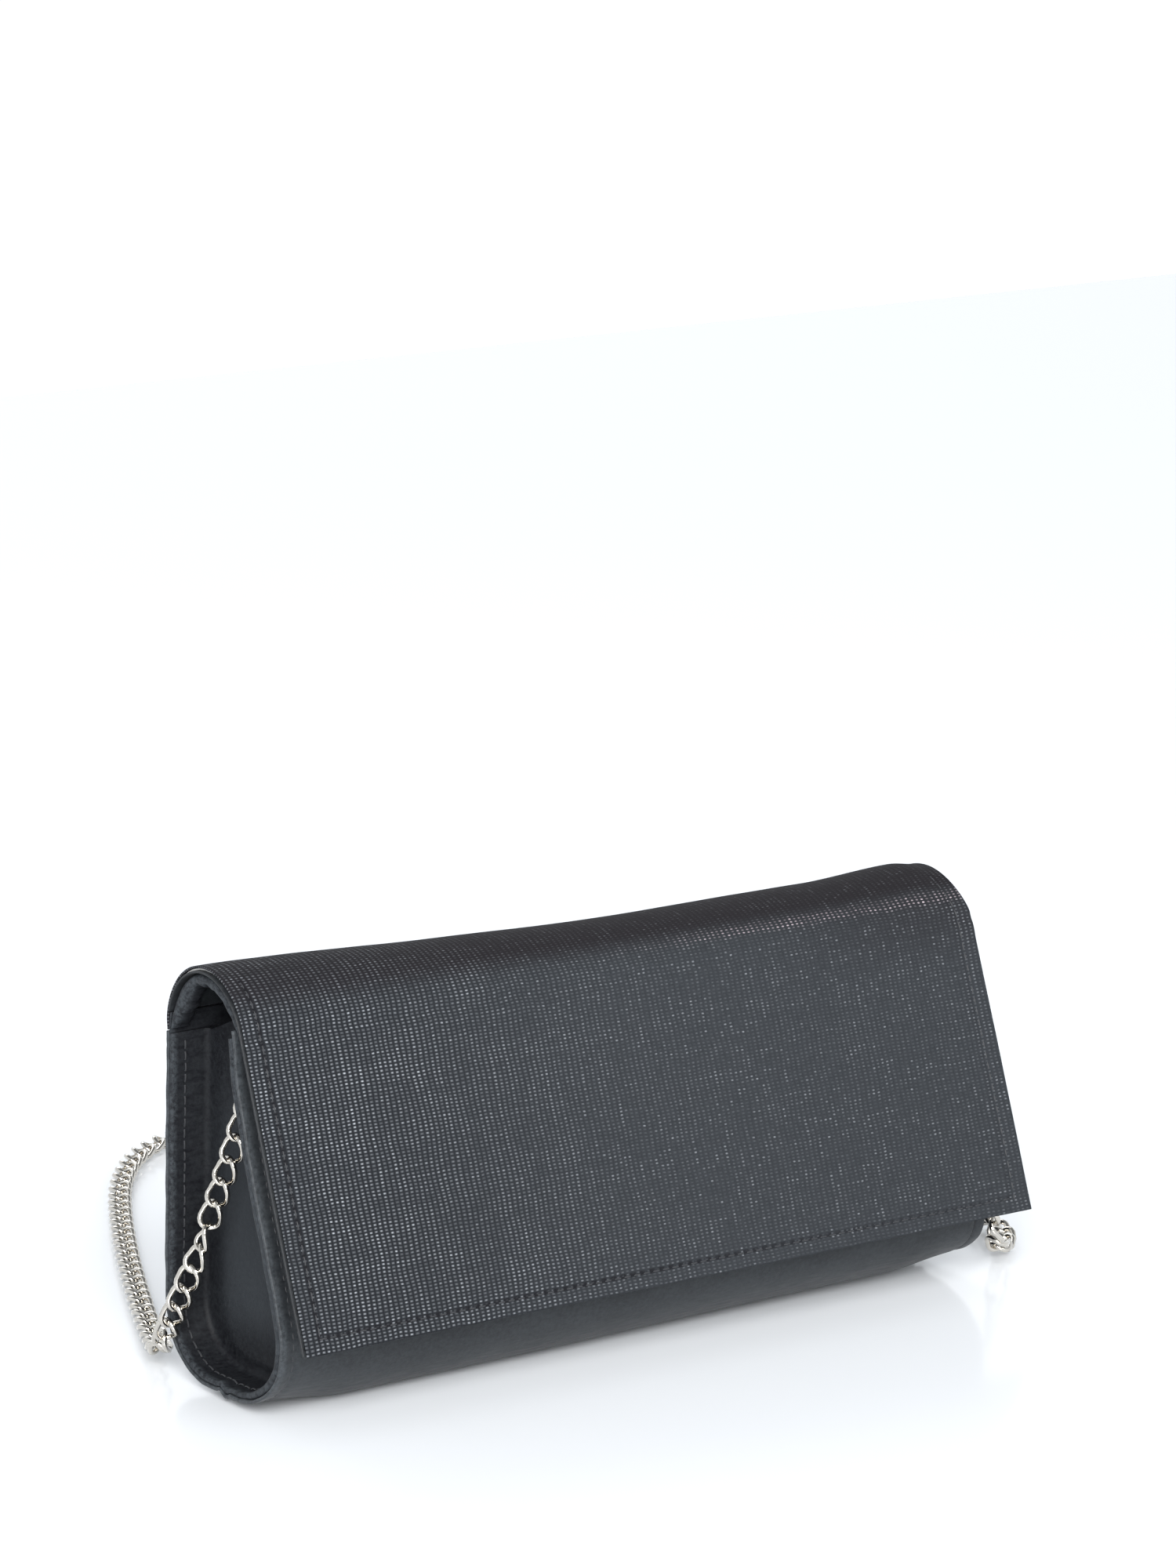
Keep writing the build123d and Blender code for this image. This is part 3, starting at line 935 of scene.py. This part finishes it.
# ---- the chain ------------------------------------------------------------------
CHAIN_DIAMETER = 6.5
LINK_LENGTH = 9.6
LINK_WIDTH = 7.3
LINK_WIRE = 0.78
LINK_TWIST = math.radians(38)
LINK_PITCH = 6.9
HEAP_SEED = 6
FIRST_LINK = 1.3
TWISTED_RUN = 45
HAND_TWIST = math.radians(70)
TOP_SHARE = 26.0
OVERLAP = 3
FLOOR_Z = CHAIN_DIAMETER / 2
LEFT_HANG = [
    (-114.3, -3.2, 84.8), (-115.8, -0.4, 75.5), (-117.6, 2.4, 65.5), (-119.3, 6.2, 55.0),
    (-121.6, 9.6, 43.0), (-124.2, 14.0, 30.5), (-125.2, 20.4, 19.5), (-123.6, 28.6, 9.8),
    (-119.2, 38.0, 4.6),
]
ON_THE_GROUND = [
    (-112.8, 52.5), (-101.6, 77.5), (-80.5, 121.5), (-55.5, 169.0), (-38.5, 196.0),
    (-18.0, 218.0), (10.0, 228.5), (44.0, 225.5), (76.0, 209.0), (93.0, 185.0), (97.0, 156.0),
    (82.0, 131.0), (54.0, 119.0), (20.0, 114.0), (-15.0, 110.0), (-46.0, 98.0), (-61.0, 76.0),
    (-50.0, 54.0), (-20.0, 46.0), (14.0, 46.0), (50.0, 49.0), (84.0, 50.0), (113.0, 48.0),
    (134.0, 38.0), (145.5, 22.0), (149.0, 6.0), (144.5, -6.0), (137.0, -15.0),
]
RIGHT_HANG = [
    (129.6, -21.4, 6.4), (125.6, -23.8, 13.5), (124.2, -22.6, 23.0), (122.6, -18.4, 34.0),
    (120.4, -13.8, 46.0), (117.8, -9.0, 58.5), (115.6, -5.4, 71.5), (114.3, -3.2, 84.8),
]


def chain_line():
    """The chain's smooth line, read from a NURBS spline on its route."""
    route = LEFT_HANG + [(x, y, FLOOR_Z) for x, y in ON_THE_GROUND] + RIGHT_HANG
    data = bpy.data.curves.new("chain_route", "CURVE")
    data.dimensions = "3D"
    spline = data.splines.new("NURBS")
    spline.points.add(len(route) - 1)
    for point, place in zip(spline.points, route):
        point.co = (*(Vector(place) * MM), 1)
    spline.order_u = 3
    spline.use_endpoint_u = True
    spline.resolution_u = 16
    holder = add_object("chain_route", data)
    sampled = bpy.data.meshes.new_from_object(holder)
    line = [vertex.co / MM for vertex in sampled.vertices]
    bpy.data.objects.remove(holder)
    bpy.data.meshes.remove(sampled)
    return line


def oval(half_width, straight, count):
    """Places round an oval: two half circles, each so far from the middle."""
    found = []
    for end in (1, -1):
        for step in range(count + 1):
            turn = math.pi * step / count
            along = straight + half_width * math.sin(turn)
            found.append(Vector((end * half_width * math.cos(turn), end * along)))
    return found


def link_shape():
    """One curb link: an oval of round wire, twisted along itself so that the next lies flat in it."""
    half_width = LINK_WIDTH / 2 - LINK_WIRE
    half_length = LINK_LENGTH / 2 - LINK_WIRE
    twisted = []
    for across, along in oval(half_width, half_length - half_width, 10):
        angle = LINK_TWIST * along / half_length
        twisted.append(Vector((across * math.cos(angle), along, across * math.sin(angle))))
    return tube_parts(twisted, LINK_WIRE, sides=8, closed=True)


def chain_places(line):
    """(run, place, direction, outward) of each link along the line, and the line's length."""
    runs = [0.0]
    for before, after in zip(line, line[1:]):
        runs.append(runs[-1] + (after - before).length)
    total = runs[-1]
    filled = total - 2 * FIRST_LINK
    count = round(filled / LINK_PITCH)
    places = []
    index = 1
    for link in range(count + 1):
        run = FIRST_LINK + filled * link / count
        while index < len(runs) - 1 and runs[index] < run:
            index += 1
        share = (run - runs[index - 1]) / (runs[index] - runs[index - 1])
        place = line[index - 1].lerp(line[index], share)
        along = line[min(index + 2, len(line) - 1)] - line[max(index - 3, 0)]
        lying = max(0.0, min(1.0, (15 - place.z) / 11))
        turned = -0.6 - 0.7 * smooth(-place.z, -48, -28)
        facing = Vector((1, -0.3, 0)) if place.x > 0 else Vector((-1, turned, 0))
        outward = facing.lerp(Vector((0, 0, 1)), lying)
        places.append((run, place, along, outward))
    return places, total


def link_matrix(run, place, along, outward):
    """Where a link goes: it rolls a little, one hanging stretch is twisted and the heap is pushed about."""
    roll = 0.16 * noise.noise(Vector((run / 9.0, 0.3, 0)))
    roll += HAND_TWIST * bump(run - TWISTED_RUN, 4.5)
    heaped = bump(place.x - 136, 12) * bump(place.y + 12, 16) * smooth(-place.z, -16, -8)
    roll += 1.1 * heaped * noise.noise(Vector((run / 3.1, 4.3, 0)))
    push = noise.noise_vector(Vector((run / 4.7, 8.1, 0))) * 1.1 + Vector((-0.9, 0.4, 0.3))
    matrix = frame_at(place + push * heaped, along, outward)
    return matrix @ Matrix.Rotation(roll, 4, "Y")


def make_chain():
    """The chain in three pieces: a few links under each ring, and all the rest."""
    noise.seed_set(HEAP_SEED)
    line = chain_line()
    entries, total = chain_places(line)
    shape = link_shape()
    groups = {"chain_top_left": [], "chain_links": [], "chain_top_right": []}
    for run, place, along, outward in entries:
        name = "chain_links"
        if run < TOP_SHARE:
            name = "chain_top_left"
        if run > total - TOP_SHARE:
            name = "chain_top_right"
        groups[name].append(link_matrix(run, place, along, outward))
    made = {name: copies(name, shape, places) for name, places in groups.items()}
    for piece in made.values():
        dress(piece, CHAIN_SILVER)
    travelled = 0.0
    for before, after in zip(line, line[1:]):
        travelled += (after - before).length
        TOP_SHARE - OVERLAP < travelled < total - TOP_SHARE + OVERLAP
    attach(made["chain_links"], "body")
    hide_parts("chain_strap")
    for side in ("left", "right"):
        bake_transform(made["chain_top_" + side])


# ---- the gussets ------------------------------------------------------------------
GUSSET_BACK_TOP = 98.6
GUSSET_FRONT_TOP = 105.0
SPINE_FOOT = Vector((-2.0, 17.0))
SPINE_HEAD = Vector((8.0, 105.0))
FILLET = 1.8
WEB_THICKNESS = 1.0
FLANGE_ROW = BODY_HALF - 4.2
LEFT_END_SHIFT = 1.6
RIGHT_END_SHIFT = 3.6


def flange_depth(run):
    """How deep the inner face of the gusset's flange lies: the rim is thicker up the front."""
    return FLANGE[1] + 1.5 * smooth(run, STRIP_END - 5, STRIP_END + 35)


def settle_ends(piece):
    """The body sits a little to the left under its flap: both end rims move that way."""
    for vertex in piece.data.vertices:
        shift = LEFT_END_SHIFT if vertex.co.x < 0 else RIGHT_END_SHIFT
        vertex.co.x -= shift * MM * smooth(abs(vertex.co.x), 111 * MM, 118 * MM)
    return piece


def gusset_stations():
    """(run, place on the spine) down the back, round the bottom and up the front, in matched pairs."""
    rows = 34
    back, front = [], []
    sides = ((back, GUSSET_BACK_TOP, 0.0), (front, GUSSET_FRONT_TOP, BOTTOM_MIDDLE))
    for index in range(rows + 1):
        share = index / rows
        spine = SPINE_HEAD.lerp(SPINE_FOOT, share)
        for found, top, after in sides:
            height = top + (SPINE_FOOT.y - top) * share
            found.append((BODY.run_at_height(height, after), spine))
    bottom = [(run, SPINE_FOOT) for run in steps(back[-1][0], front[-1][0], 1.8)]
    return back + bottom[1:-1] + front[::-1]


def web_x(share, spine):
    """How far out the web stands: it is pushed in along its spine, most of all half way down."""
    fall = (SPINE_HEAD.y - spine.y) / (SPINE_HEAD.y - SPINE_FOOT.y)
    depth = 1.0 + 3.4 * math.sin(math.pi * min(1.0, fall * 0.9 + 0.1)) ** 2
    crease = 0.5 * bump((share - 0.3) * 20, 2.0) * fall
    return WEB_X - depth * share ** 1.2 + crease + 0.3 * share * ripple(share * 20, spine.y, 11, 1.0)


def web_skin(side, run, spine, edge_depth, setback):
    """One skin of a gusset's web, from near the outline to the spine."""
    edge = BODY.at(run, edge_depth + settled(side * WEB_X, run))
    line = []
    for index in range(13):
        share = index / 12
        place = edge.lerp(spine, share)
        line.append(in_space(place, side * (web_x(share, spine) - setback)))
    return line


def flange_skin(side, run):
    """The flange, from the web out to the rim, round its roll and back in to the fillet."""
    outer, inner = FLANGE[0], flange_depth(run)
    roll = (inner - outer) / 2
    middle = (inner + outer) / 2
    rim = BODY_HALF - 0.2 - roll
    spots = [(WEB_X - WEB_THICKNESS, outer), (WEB_X + 3, outer), (rim, outer)]
    for angle in (20, 45, 70, 90, 110, 135, 160):
        turn = math.radians(angle)
        spots.append((rim + roll * math.sin(turn), middle - roll * math.cos(turn)))
    for x in steps(rim, WEB_X + FILLET, 0.6):
        spots.append((x, inner + 0.3 * bump(x - FLANGE_ROW, 0.8)))
    for angle in (30, 60):
        turn = math.radians(angle)
        spots.append((WEB_X + FILLET * (1 - math.sin(turn)), inner + FILLET * (1 - math.cos(turn))))
    line = []
    for x, depth in spots:
        line.append(in_space(BODY.at(run, depth + settled(side * x, run)), side * x))
    return line


def across_gusset(piece):
    """A gusset piece keeps the place it was made in, baked into its mesh."""
    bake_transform(piece)


def make_gusset(side, name):
    """One end of the bag: a satin panel set in from the rim, its flange, its lining and its stitches."""
    stations = gusset_stations()
    outer_loops, lining_loops = [], []
    for run, spine in stations:
        inner = flange_depth(run)
        back = web_skin(side, run, spine, inner + FILLET, WEB_THICKNESS)
        front = web_skin(side, run, spine, inner + FILLET, 0.0)
        outer_loops.append(back[::-1] + flange_skin(side, run) + front)
        lining_edge = inner + 4.6 - FLANGE[1]
        near = web_skin(side, run, spine, lining_edge, WEB_THICKNESS + 0.4)
        far = web_skin(side, run, spine, lining_edge, WEB_THICKNESS + 0.9)
        lining_loops.append(far[::-1] + near)
    panel = settle_ends(loft("gusset_panel_" + name, outer_loops, closed=False))
    fit(panel, SHADED_SATIN, across_gusset, "gusset_" + name)
    as_cloth(panel, 100, 110, ["back_shell", "front_shell"])
    lining = loft("gusset_lining_cloth_" + name, lining_loops, closed=False)
    fit(lining, LINING_CLOTH, across_gusset, "gusset_lining_" + name)
    as_cloth(lining, 66, 95, ["gusset_panel_" + name])
    flange = surface_of(BODY, lambda x, run: flange_depth(run) + 0.25 + settled(x, run), facing=-1)
    x = side * FLANGE_ROW
    row = stitch_row(flange, [(x, stations[0][0] + 2), (x, stations[-1][0] - 2)])
    sew("gusset_stitches_" + name, row, across_gusset, settle_ends)


# ---- the body ---------------------------------------------------------------------
BACK_FACING_FOOT = 84.0
FRONT_FACING_FOOT = 86.0
BACK_LINING_HALF = 107.4
FRONT_LINING_HALF = 106.0


def with_front(piece):
    """A cloth piece of the front keeps the place it was made in, baked into its mesh."""
    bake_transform(piece)


def make_body():
    """The satin cover of the back, bottom and front, the linings, the facings and the pocket."""
    runs = (0.0, STRIP_END - 0.05)
    back = sheet("back_shell", BODY, runs, BODY_HALF, COVER, body_relief, 1.0, 0.6)
    fit(settle_ends(back), SATIN, "body", "back_cover")
    as_cloth(back, 2 * BODY_HALF, STRIP_END, ["back_board", "base_stiffener"])
    runs = (STRIP_END + 0.05, BODY.length)
    front = sheet("front_shell", BODY, runs, BODY_HALF, COVER, body_relief, 1.0, 0.6)
    fit(settle_ends(front), SATIN, with_front, "front_cover")
    as_cloth(front, 2 * BODY_HALF, BODY.length - STRIP_END, ["front_board"])
    facing_run = BODY.run_at_height(BACK_FACING_FOOT)
    front_facing_run = BODY.run_at_height(FRONT_FACING_FOOT, after=BOTTOM_MIDDLE)
    top = BODY.length - 0.6
    pieces = (
        ("back_lining", (facing_run, STRIP_END - 0.2), LINING, BACK_LINING_HALF, "body"),
        ("back_facing", (0.6, facing_run + FACING_LAP), FACING, BACK_LINING_HALF, "body"),
        ("front_lining", (STRIP_END + 0.2, front_facing_run), LINING, FRONT_LINING_HALF, with_front),
        ("front_facing", (front_facing_run - FACING_LAP, top), FACING, FRONT_LINING_HALF, with_front),
    )
    for node, runs, depths, half, hold in pieces:
        made = sheet(node + "_cloth", BODY, runs, half, depths, lining_relief, 2.5, 1.2)
        material, slot = (LINING_CLOTH, "lining") if depths == LINING else (SATIN, "satin")
        fit(made, material, hold, node)
        as_cloth(made, 2 * half, runs[1] - runs[0], [node.split("_")[0] + "_board"])
    board_runs = (BODY.run_at_height(12.0), BODY.run_at_height(12.0, after=BOTTOM_MIDDLE))
    board = sheet("base_stiffener", BODY, board_runs, 107.8, BASE_BOARD, board_relief, 3.0, 1.5)
    fit(board, CARD, "body", "base_board")
    make_pocket()


POCKET_TOP = BODY.run_at_height(76.0)
POCKET_FOOT = BODY.run_at_height(30.0)
POCKET_HALF = 62


def pocket_relief(x, run, outer):
    """The pocket's mouth hangs a little open in the middle."""
    share = 1 - (run - POCKET_TOP) / (POCKET_FOOT - POCKET_TOP)
    return -0.9 * max(0.0, share) ** 3 * math.cos(math.pi * x / 130) + 0.1 * ripple(x, run, 15, 3.3)


def make_pocket():
    """The slip pocket on the back's lining, with its hem and side seams."""
    runs = (POCKET_TOP, POCKET_FOOT)
    pocket = sheet("slip_pocket_cloth", BODY, runs, POCKET_HALF, POCKET, pocket_relief, 1.5, 0.8)
    fit(pocket, LINING_CLOTH, "body", "slip_pocket")
    as_cloth(pocket, 2 * POCKET_HALF, POCKET_FOOT - POCKET_TOP, ["back_lining_cloth"])
    face = surface_of(BODY, lambda x, run: POCKET[1] - pocket_relief(x, run, False), facing=-1)
    seam = POCKET_HALF - 2
    top, foot = POCKET_TOP + 2, POCKET_FOOT - 2
    rows = stitch_row(face, [(-seam, top), (-seam, foot), (seam, foot), (seam, top)])
    rows += stitch_row(face, [(2 - seam, POCKET_TOP + 8), (seam - 2, POCKET_TOP + 8)])
    sew("pocket_stitches", rows, "body")


def make_body_stitches():
    """The rows that hold the gussets' flanges and the flap's back edge."""
    skin = surface_of(BODY, lambda x, run: -body_relief(x, run, True))
    back_rows, front_rows = [], []
    for x in (-BODY_SIDE_ROW, BODY_SIDE_ROW):
        back_rows += stitch_row(skin, [(x, BACK_SEAM_RUN), (x, STRIP_END - 1)])
        front_rows += stitch_row(skin, [(x, STRIP_END + 1), (x, BODY.length - 3)])
    seam_half = BODY_SIDE_ROW - 2
    back_rows += stitch_row(skin, [(-seam_half, BACK_SEAM_RUN), (seam_half, BACK_SEAM_RUN)])
    sew("back_stitches", back_rows, "body", settle_ends)
    sew("front_stitches", front_rows, with_front, settle_ends)


# ---- the flap ---------------------------------------------------------------------
def flap_inner_relief(x, run, outer):
    """The layers under the mesh follow its sag."""
    return flap_relief(x, run, False)


def make_flap():
    """The mesh cover, the padding and board inside, the satin lining, and the stitches round the edge."""
    runs = (0.0, FLAP.length)
    mesh = sheet("flap_mesh", FLAP, runs, FLAP_HALF - 0.6, MESH_LAYER, flap_relief, 1.0, 0.6)
    fit(settle_flap(mesh), MESH, "flap", "flap_cover")
    as_cloth(mesh, 2 * FLAP_HALF, FLAP.length, ["flap_stiffener", "fold_padding"])
    runs = (6.0, FLAP.length - 0.2)
    lining = sheet("flap_satin", FLAP, runs, FLAP_HALF, FLAP_LINING, flap_inner_relief, 1.2, 0.6)
    fit(settle_flap(lining), SHADED_FLAP_SATIN, "flap", "flap_lining")
    as_cloth(lining, 2 * FLAP_HALF, FLAP.length - 6, ["flap_stiffener", "fold_padding"])
    fold_line = FOLD_END - 2
    fillings = (
        ("fold_padding", (6.5, fold_line), WADDING, "padding", "flap_padding"),
        ("flap_stiffener", (fold_line + 0.4, FLAP.length - 1.2), CARD, "board", "flap_board"),
    )
    for name, runs, material, slot, node in fillings:
        filling = sheet(name, FLAP, runs, FLAP_HALF - 1.4, FLAP_FILLING, flap_inner_relief, 3.0, 3.0)
        fit(settle_flap(filling), material, "flap", node)
        material == WADDING
    make_fold_ends()
    make_hinge_cloth()
    skin = surface_of(FLAP, lambda x, run: -flap_relief(x, run, True))
    side, top, foot = FLAP_SIDE_ROW, FLAP_ROW_START, FLAP_LOWER_ROW
    row = stitch_row(skin, [(-side, top), (-side, foot), (side, foot), (side, top)])
    sew("flap_stitches", row, "flap", settle_flap)


def settle_flap(piece):
    """The flap's right edge stands out a little below the ridge, and is drawn in at the ridge."""
    for vertex in piece.data.vertices:
        shift = 1.6 - 1.8 * smooth(vertex.co.z, 104 * MM, 117 * MM)
        vertex.co.x += shift * MM * smooth(vertex.co.x, 80 * MM, 121 * MM)
    return piece


def make_fold_ends():
    """The satin gathered in a soft roll under each end of the fold."""
    for side, name in ((-1, "left"), (1, "right")):
        loops = []
        stations = steps(1.0, FOLD_END + 4, 0.7)
        for run in stations:
            share = (run - stations[0]) / (stations[-1] - stations[0])
            swell = math.sqrt(max(0.02, math.sin(math.pi * share ** 0.8)))
            ruffle = 0.55 * ripple(side * 3, run, 2.6, 1.7) + 0.5 * ripple(side * 7, run, 6, 3.9)
            thick = 1.5 + 1.7 * bump(share - 0.16, 0.14) + 0.9 * smooth(share, 0.3, 0.8)
            thick -= 1.9 * smooth(share, 0.84, 1.0)
            deep = (thick + 0.8 * ruffle) * swell + 0.2
            wide = 3.2 + 0.8 * ripple(side * 5, run, 5, 8.8)
            sag = flap_relief(side * 118, run, False)
            loop = []
            for cosine, sine in circle(18):
                across = FLAP_HALF - 0.5 - wide * (1 + cosine)
                depth = 2.0 + deep * (1 + sine) - sag
                loop.append(in_space(FLAP.at(run, depth), side * across))
            loops.append(loop)
        roll = loft("fold_end_roll_" + name, loops)
        fit(settle_flap(roll), SHADED_SATIN, "flap")


def make_hinge_cloth():
    """The strip of satin inside the line where the flap is sewn to the back."""
    back_runs = steps(2.6, 0.2, 0.4)
    flap_runs = steps(0.2, 5.6, 0.5)
    loops = []
    for outline, runs in ((BODY, back_runs), (FLAP, flap_runs)):
        for run in runs:
            near, far = outline.at(run, HINGE_LAYER[0]), outline.at(run, HINGE_LAYER[1])
            xs = steps(0.8 - FLAP_HALF, BODY_HALF - 4.6, 6)
            loops.append([in_space(near, x) for x in xs] + [in_space(far, x) for x in reversed(xs)])
    strip = loft("hinge_cloth", loops)
    dress(strip, SHADED_SATIN)
    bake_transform(strip)
    width = FLAP_HALF + BODY_HALF - 5.4
    as_cloth(strip, width, 10, ["back_shell", "flap_mesh"])


# ---- the snap, the rings and their tabs --------------------------------------------
SNAP_HEIGHT = 47.0


def make_snap():
    """The magnetic snap: a socket on the front and a stud plate on the flap's lining."""
    front_run = BODY.run_at_height(SNAP_HEIGHT, after=BOTTOM_MIDDLE)
    spot = BODY.at(front_run)
    profile = [
        (0, 0.6), (3.4, 0.6), (3.6, 0.9), (3.6, 2.9), (3.9, 3.2), (7.6, 3.2), (8.4, 3.0),
        (8.9, 2.4), (9.0, 1.6), (9.0, 0.0), (3.4, 0.0), (3.4, -1.4), (0, -1.4),
    ]
    socket = lathe("snap_socket_metal", profile, in_space(spot), in_space(FRONT_NORMAL))
    fit(socket, SILVER, "front", "snap_socket")
    flap_run = FLAP.run_at_height(SNAP_HEIGHT + 0.4, after=FOLD_END)
    foot = FLAP.at(flap_run, FLAP_LINING[1])
    profile = [
        (0, -0.6), (2.0, -0.6), (2.0, 0), (7.9, 0), (8.4, 0.4), (8.5, 0.9), (8.1, 1.3),
        (2.8, 1.3), (2.3, 1.6), (2.3, 2.3), (2.0, 2.6), (0, 2.6),
    ]
    stud = lathe("snap_stud_metal", profile, in_space(foot), -in_space(FLAP_NORMAL))
    fit(stud, SILVER, "flap", "snap_stud")


RING_X = 113.9
RING_Y = -3.2
RING_Z = 96.5
RING_RADIUS = 4.6
RING_WIRE = 0.8


def make_ring(side, name):
    """The D-ring, the chain's end link hung in it, and the satin tab that holds the ring."""
    centre = Vector((side * RING_X, RING_Y, RING_Z))
    half_round = oval(RING_RADIUS, 0, 24)[:25]
    bow = [centre + Vector((0, across, -along)) for across, along in half_round]
    bar = [centre + Vector((0, -RING_RADIUS + step * RING_RADIUS / 6, 0)) for step in range(1, 12)]
    ring = tube("d_ring_wire_" + name, bow + bar, RING_WIRE, sides=14, closed=True)
    fit(ring, SILVER, "ring_" + name, "d_ring_" + name)
    low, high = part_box("end_link_" + name)
    middle = (low + high) / 2 / MM
    loop = [middle + Vector((across, 0, along)) for across, along in oval(2.3, 1.3, 12)]
    link = tube("end_link_wire_" + name, loop, 0.75, sides=12, closed=True)
    fit(link, CHAIN_SILVER, "ring_" + name, "end_link_" + name)
    make_tab(side, name)


def no_relief(x, run, outer):
    """A band pulled smooth."""
    return 0.0


def make_tab(side, name):
    """A band of satin from the gusset, round the ring's bar and back."""
    reach = 1.6
    half = 3.2
    start = Vector((WEB_X + 0.1, 100.2))
    around = arc(Vector((RING_X, RING_Z)), reach, 50, -160, step=15)
    end = Vector((WEB_X + 0.1, RING_Z + 0.9))
    first = around[0][0] - start
    last = end - around[-1][0]
    line = [(start, Vector((-first.y, first.x)).normalized())]
    line += around
    line.append((end, Vector((-last.y, last.x)).normalized()))
    band = Outline(line)
    tab = sheet("tab_cloth_" + name, band, (0, band.length), half, (0.0, 0.6), no_relief, 0.8, 0.4, 1.0)
    for vertex in tab.data.vertices:
        across, out, up = vertex.co
        vertex.co = (side * out, across + RING_Y * MM, up)
    clean(tab.data)
    fit(tab, SHADED_SATIN, "body", "chain_tab_" + name)
    as_cloth(tab, 10, band.length, ["d_ring_wire_" + name])


# ---- the hidden parts keep their CAD shapes ------------------------------------------
def paint_frame():
    """Boards and washers keep their CAD meshes, each given its material."""
    finishes = {
        "back_board": (CARD, "board"),
        "front_board": (CARD, "board"),
        "snap_socket_washer": (SILVER, "silver"),
        "snap_stud_washer": (SILVER, "silver"),
    }
    for name, (material, slot) in finishes.items():
        dress(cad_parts[name], material)


make_camera()
make_body()
make_body_stitches()
for side_sign, side_name in ((-1, "left"), (1, "right")):
    make_gusset(side_sign, side_name)
    make_ring(side_sign, side_name)
make_flap()
make_snap()
make_chain()
paint_frame()
make_studio()
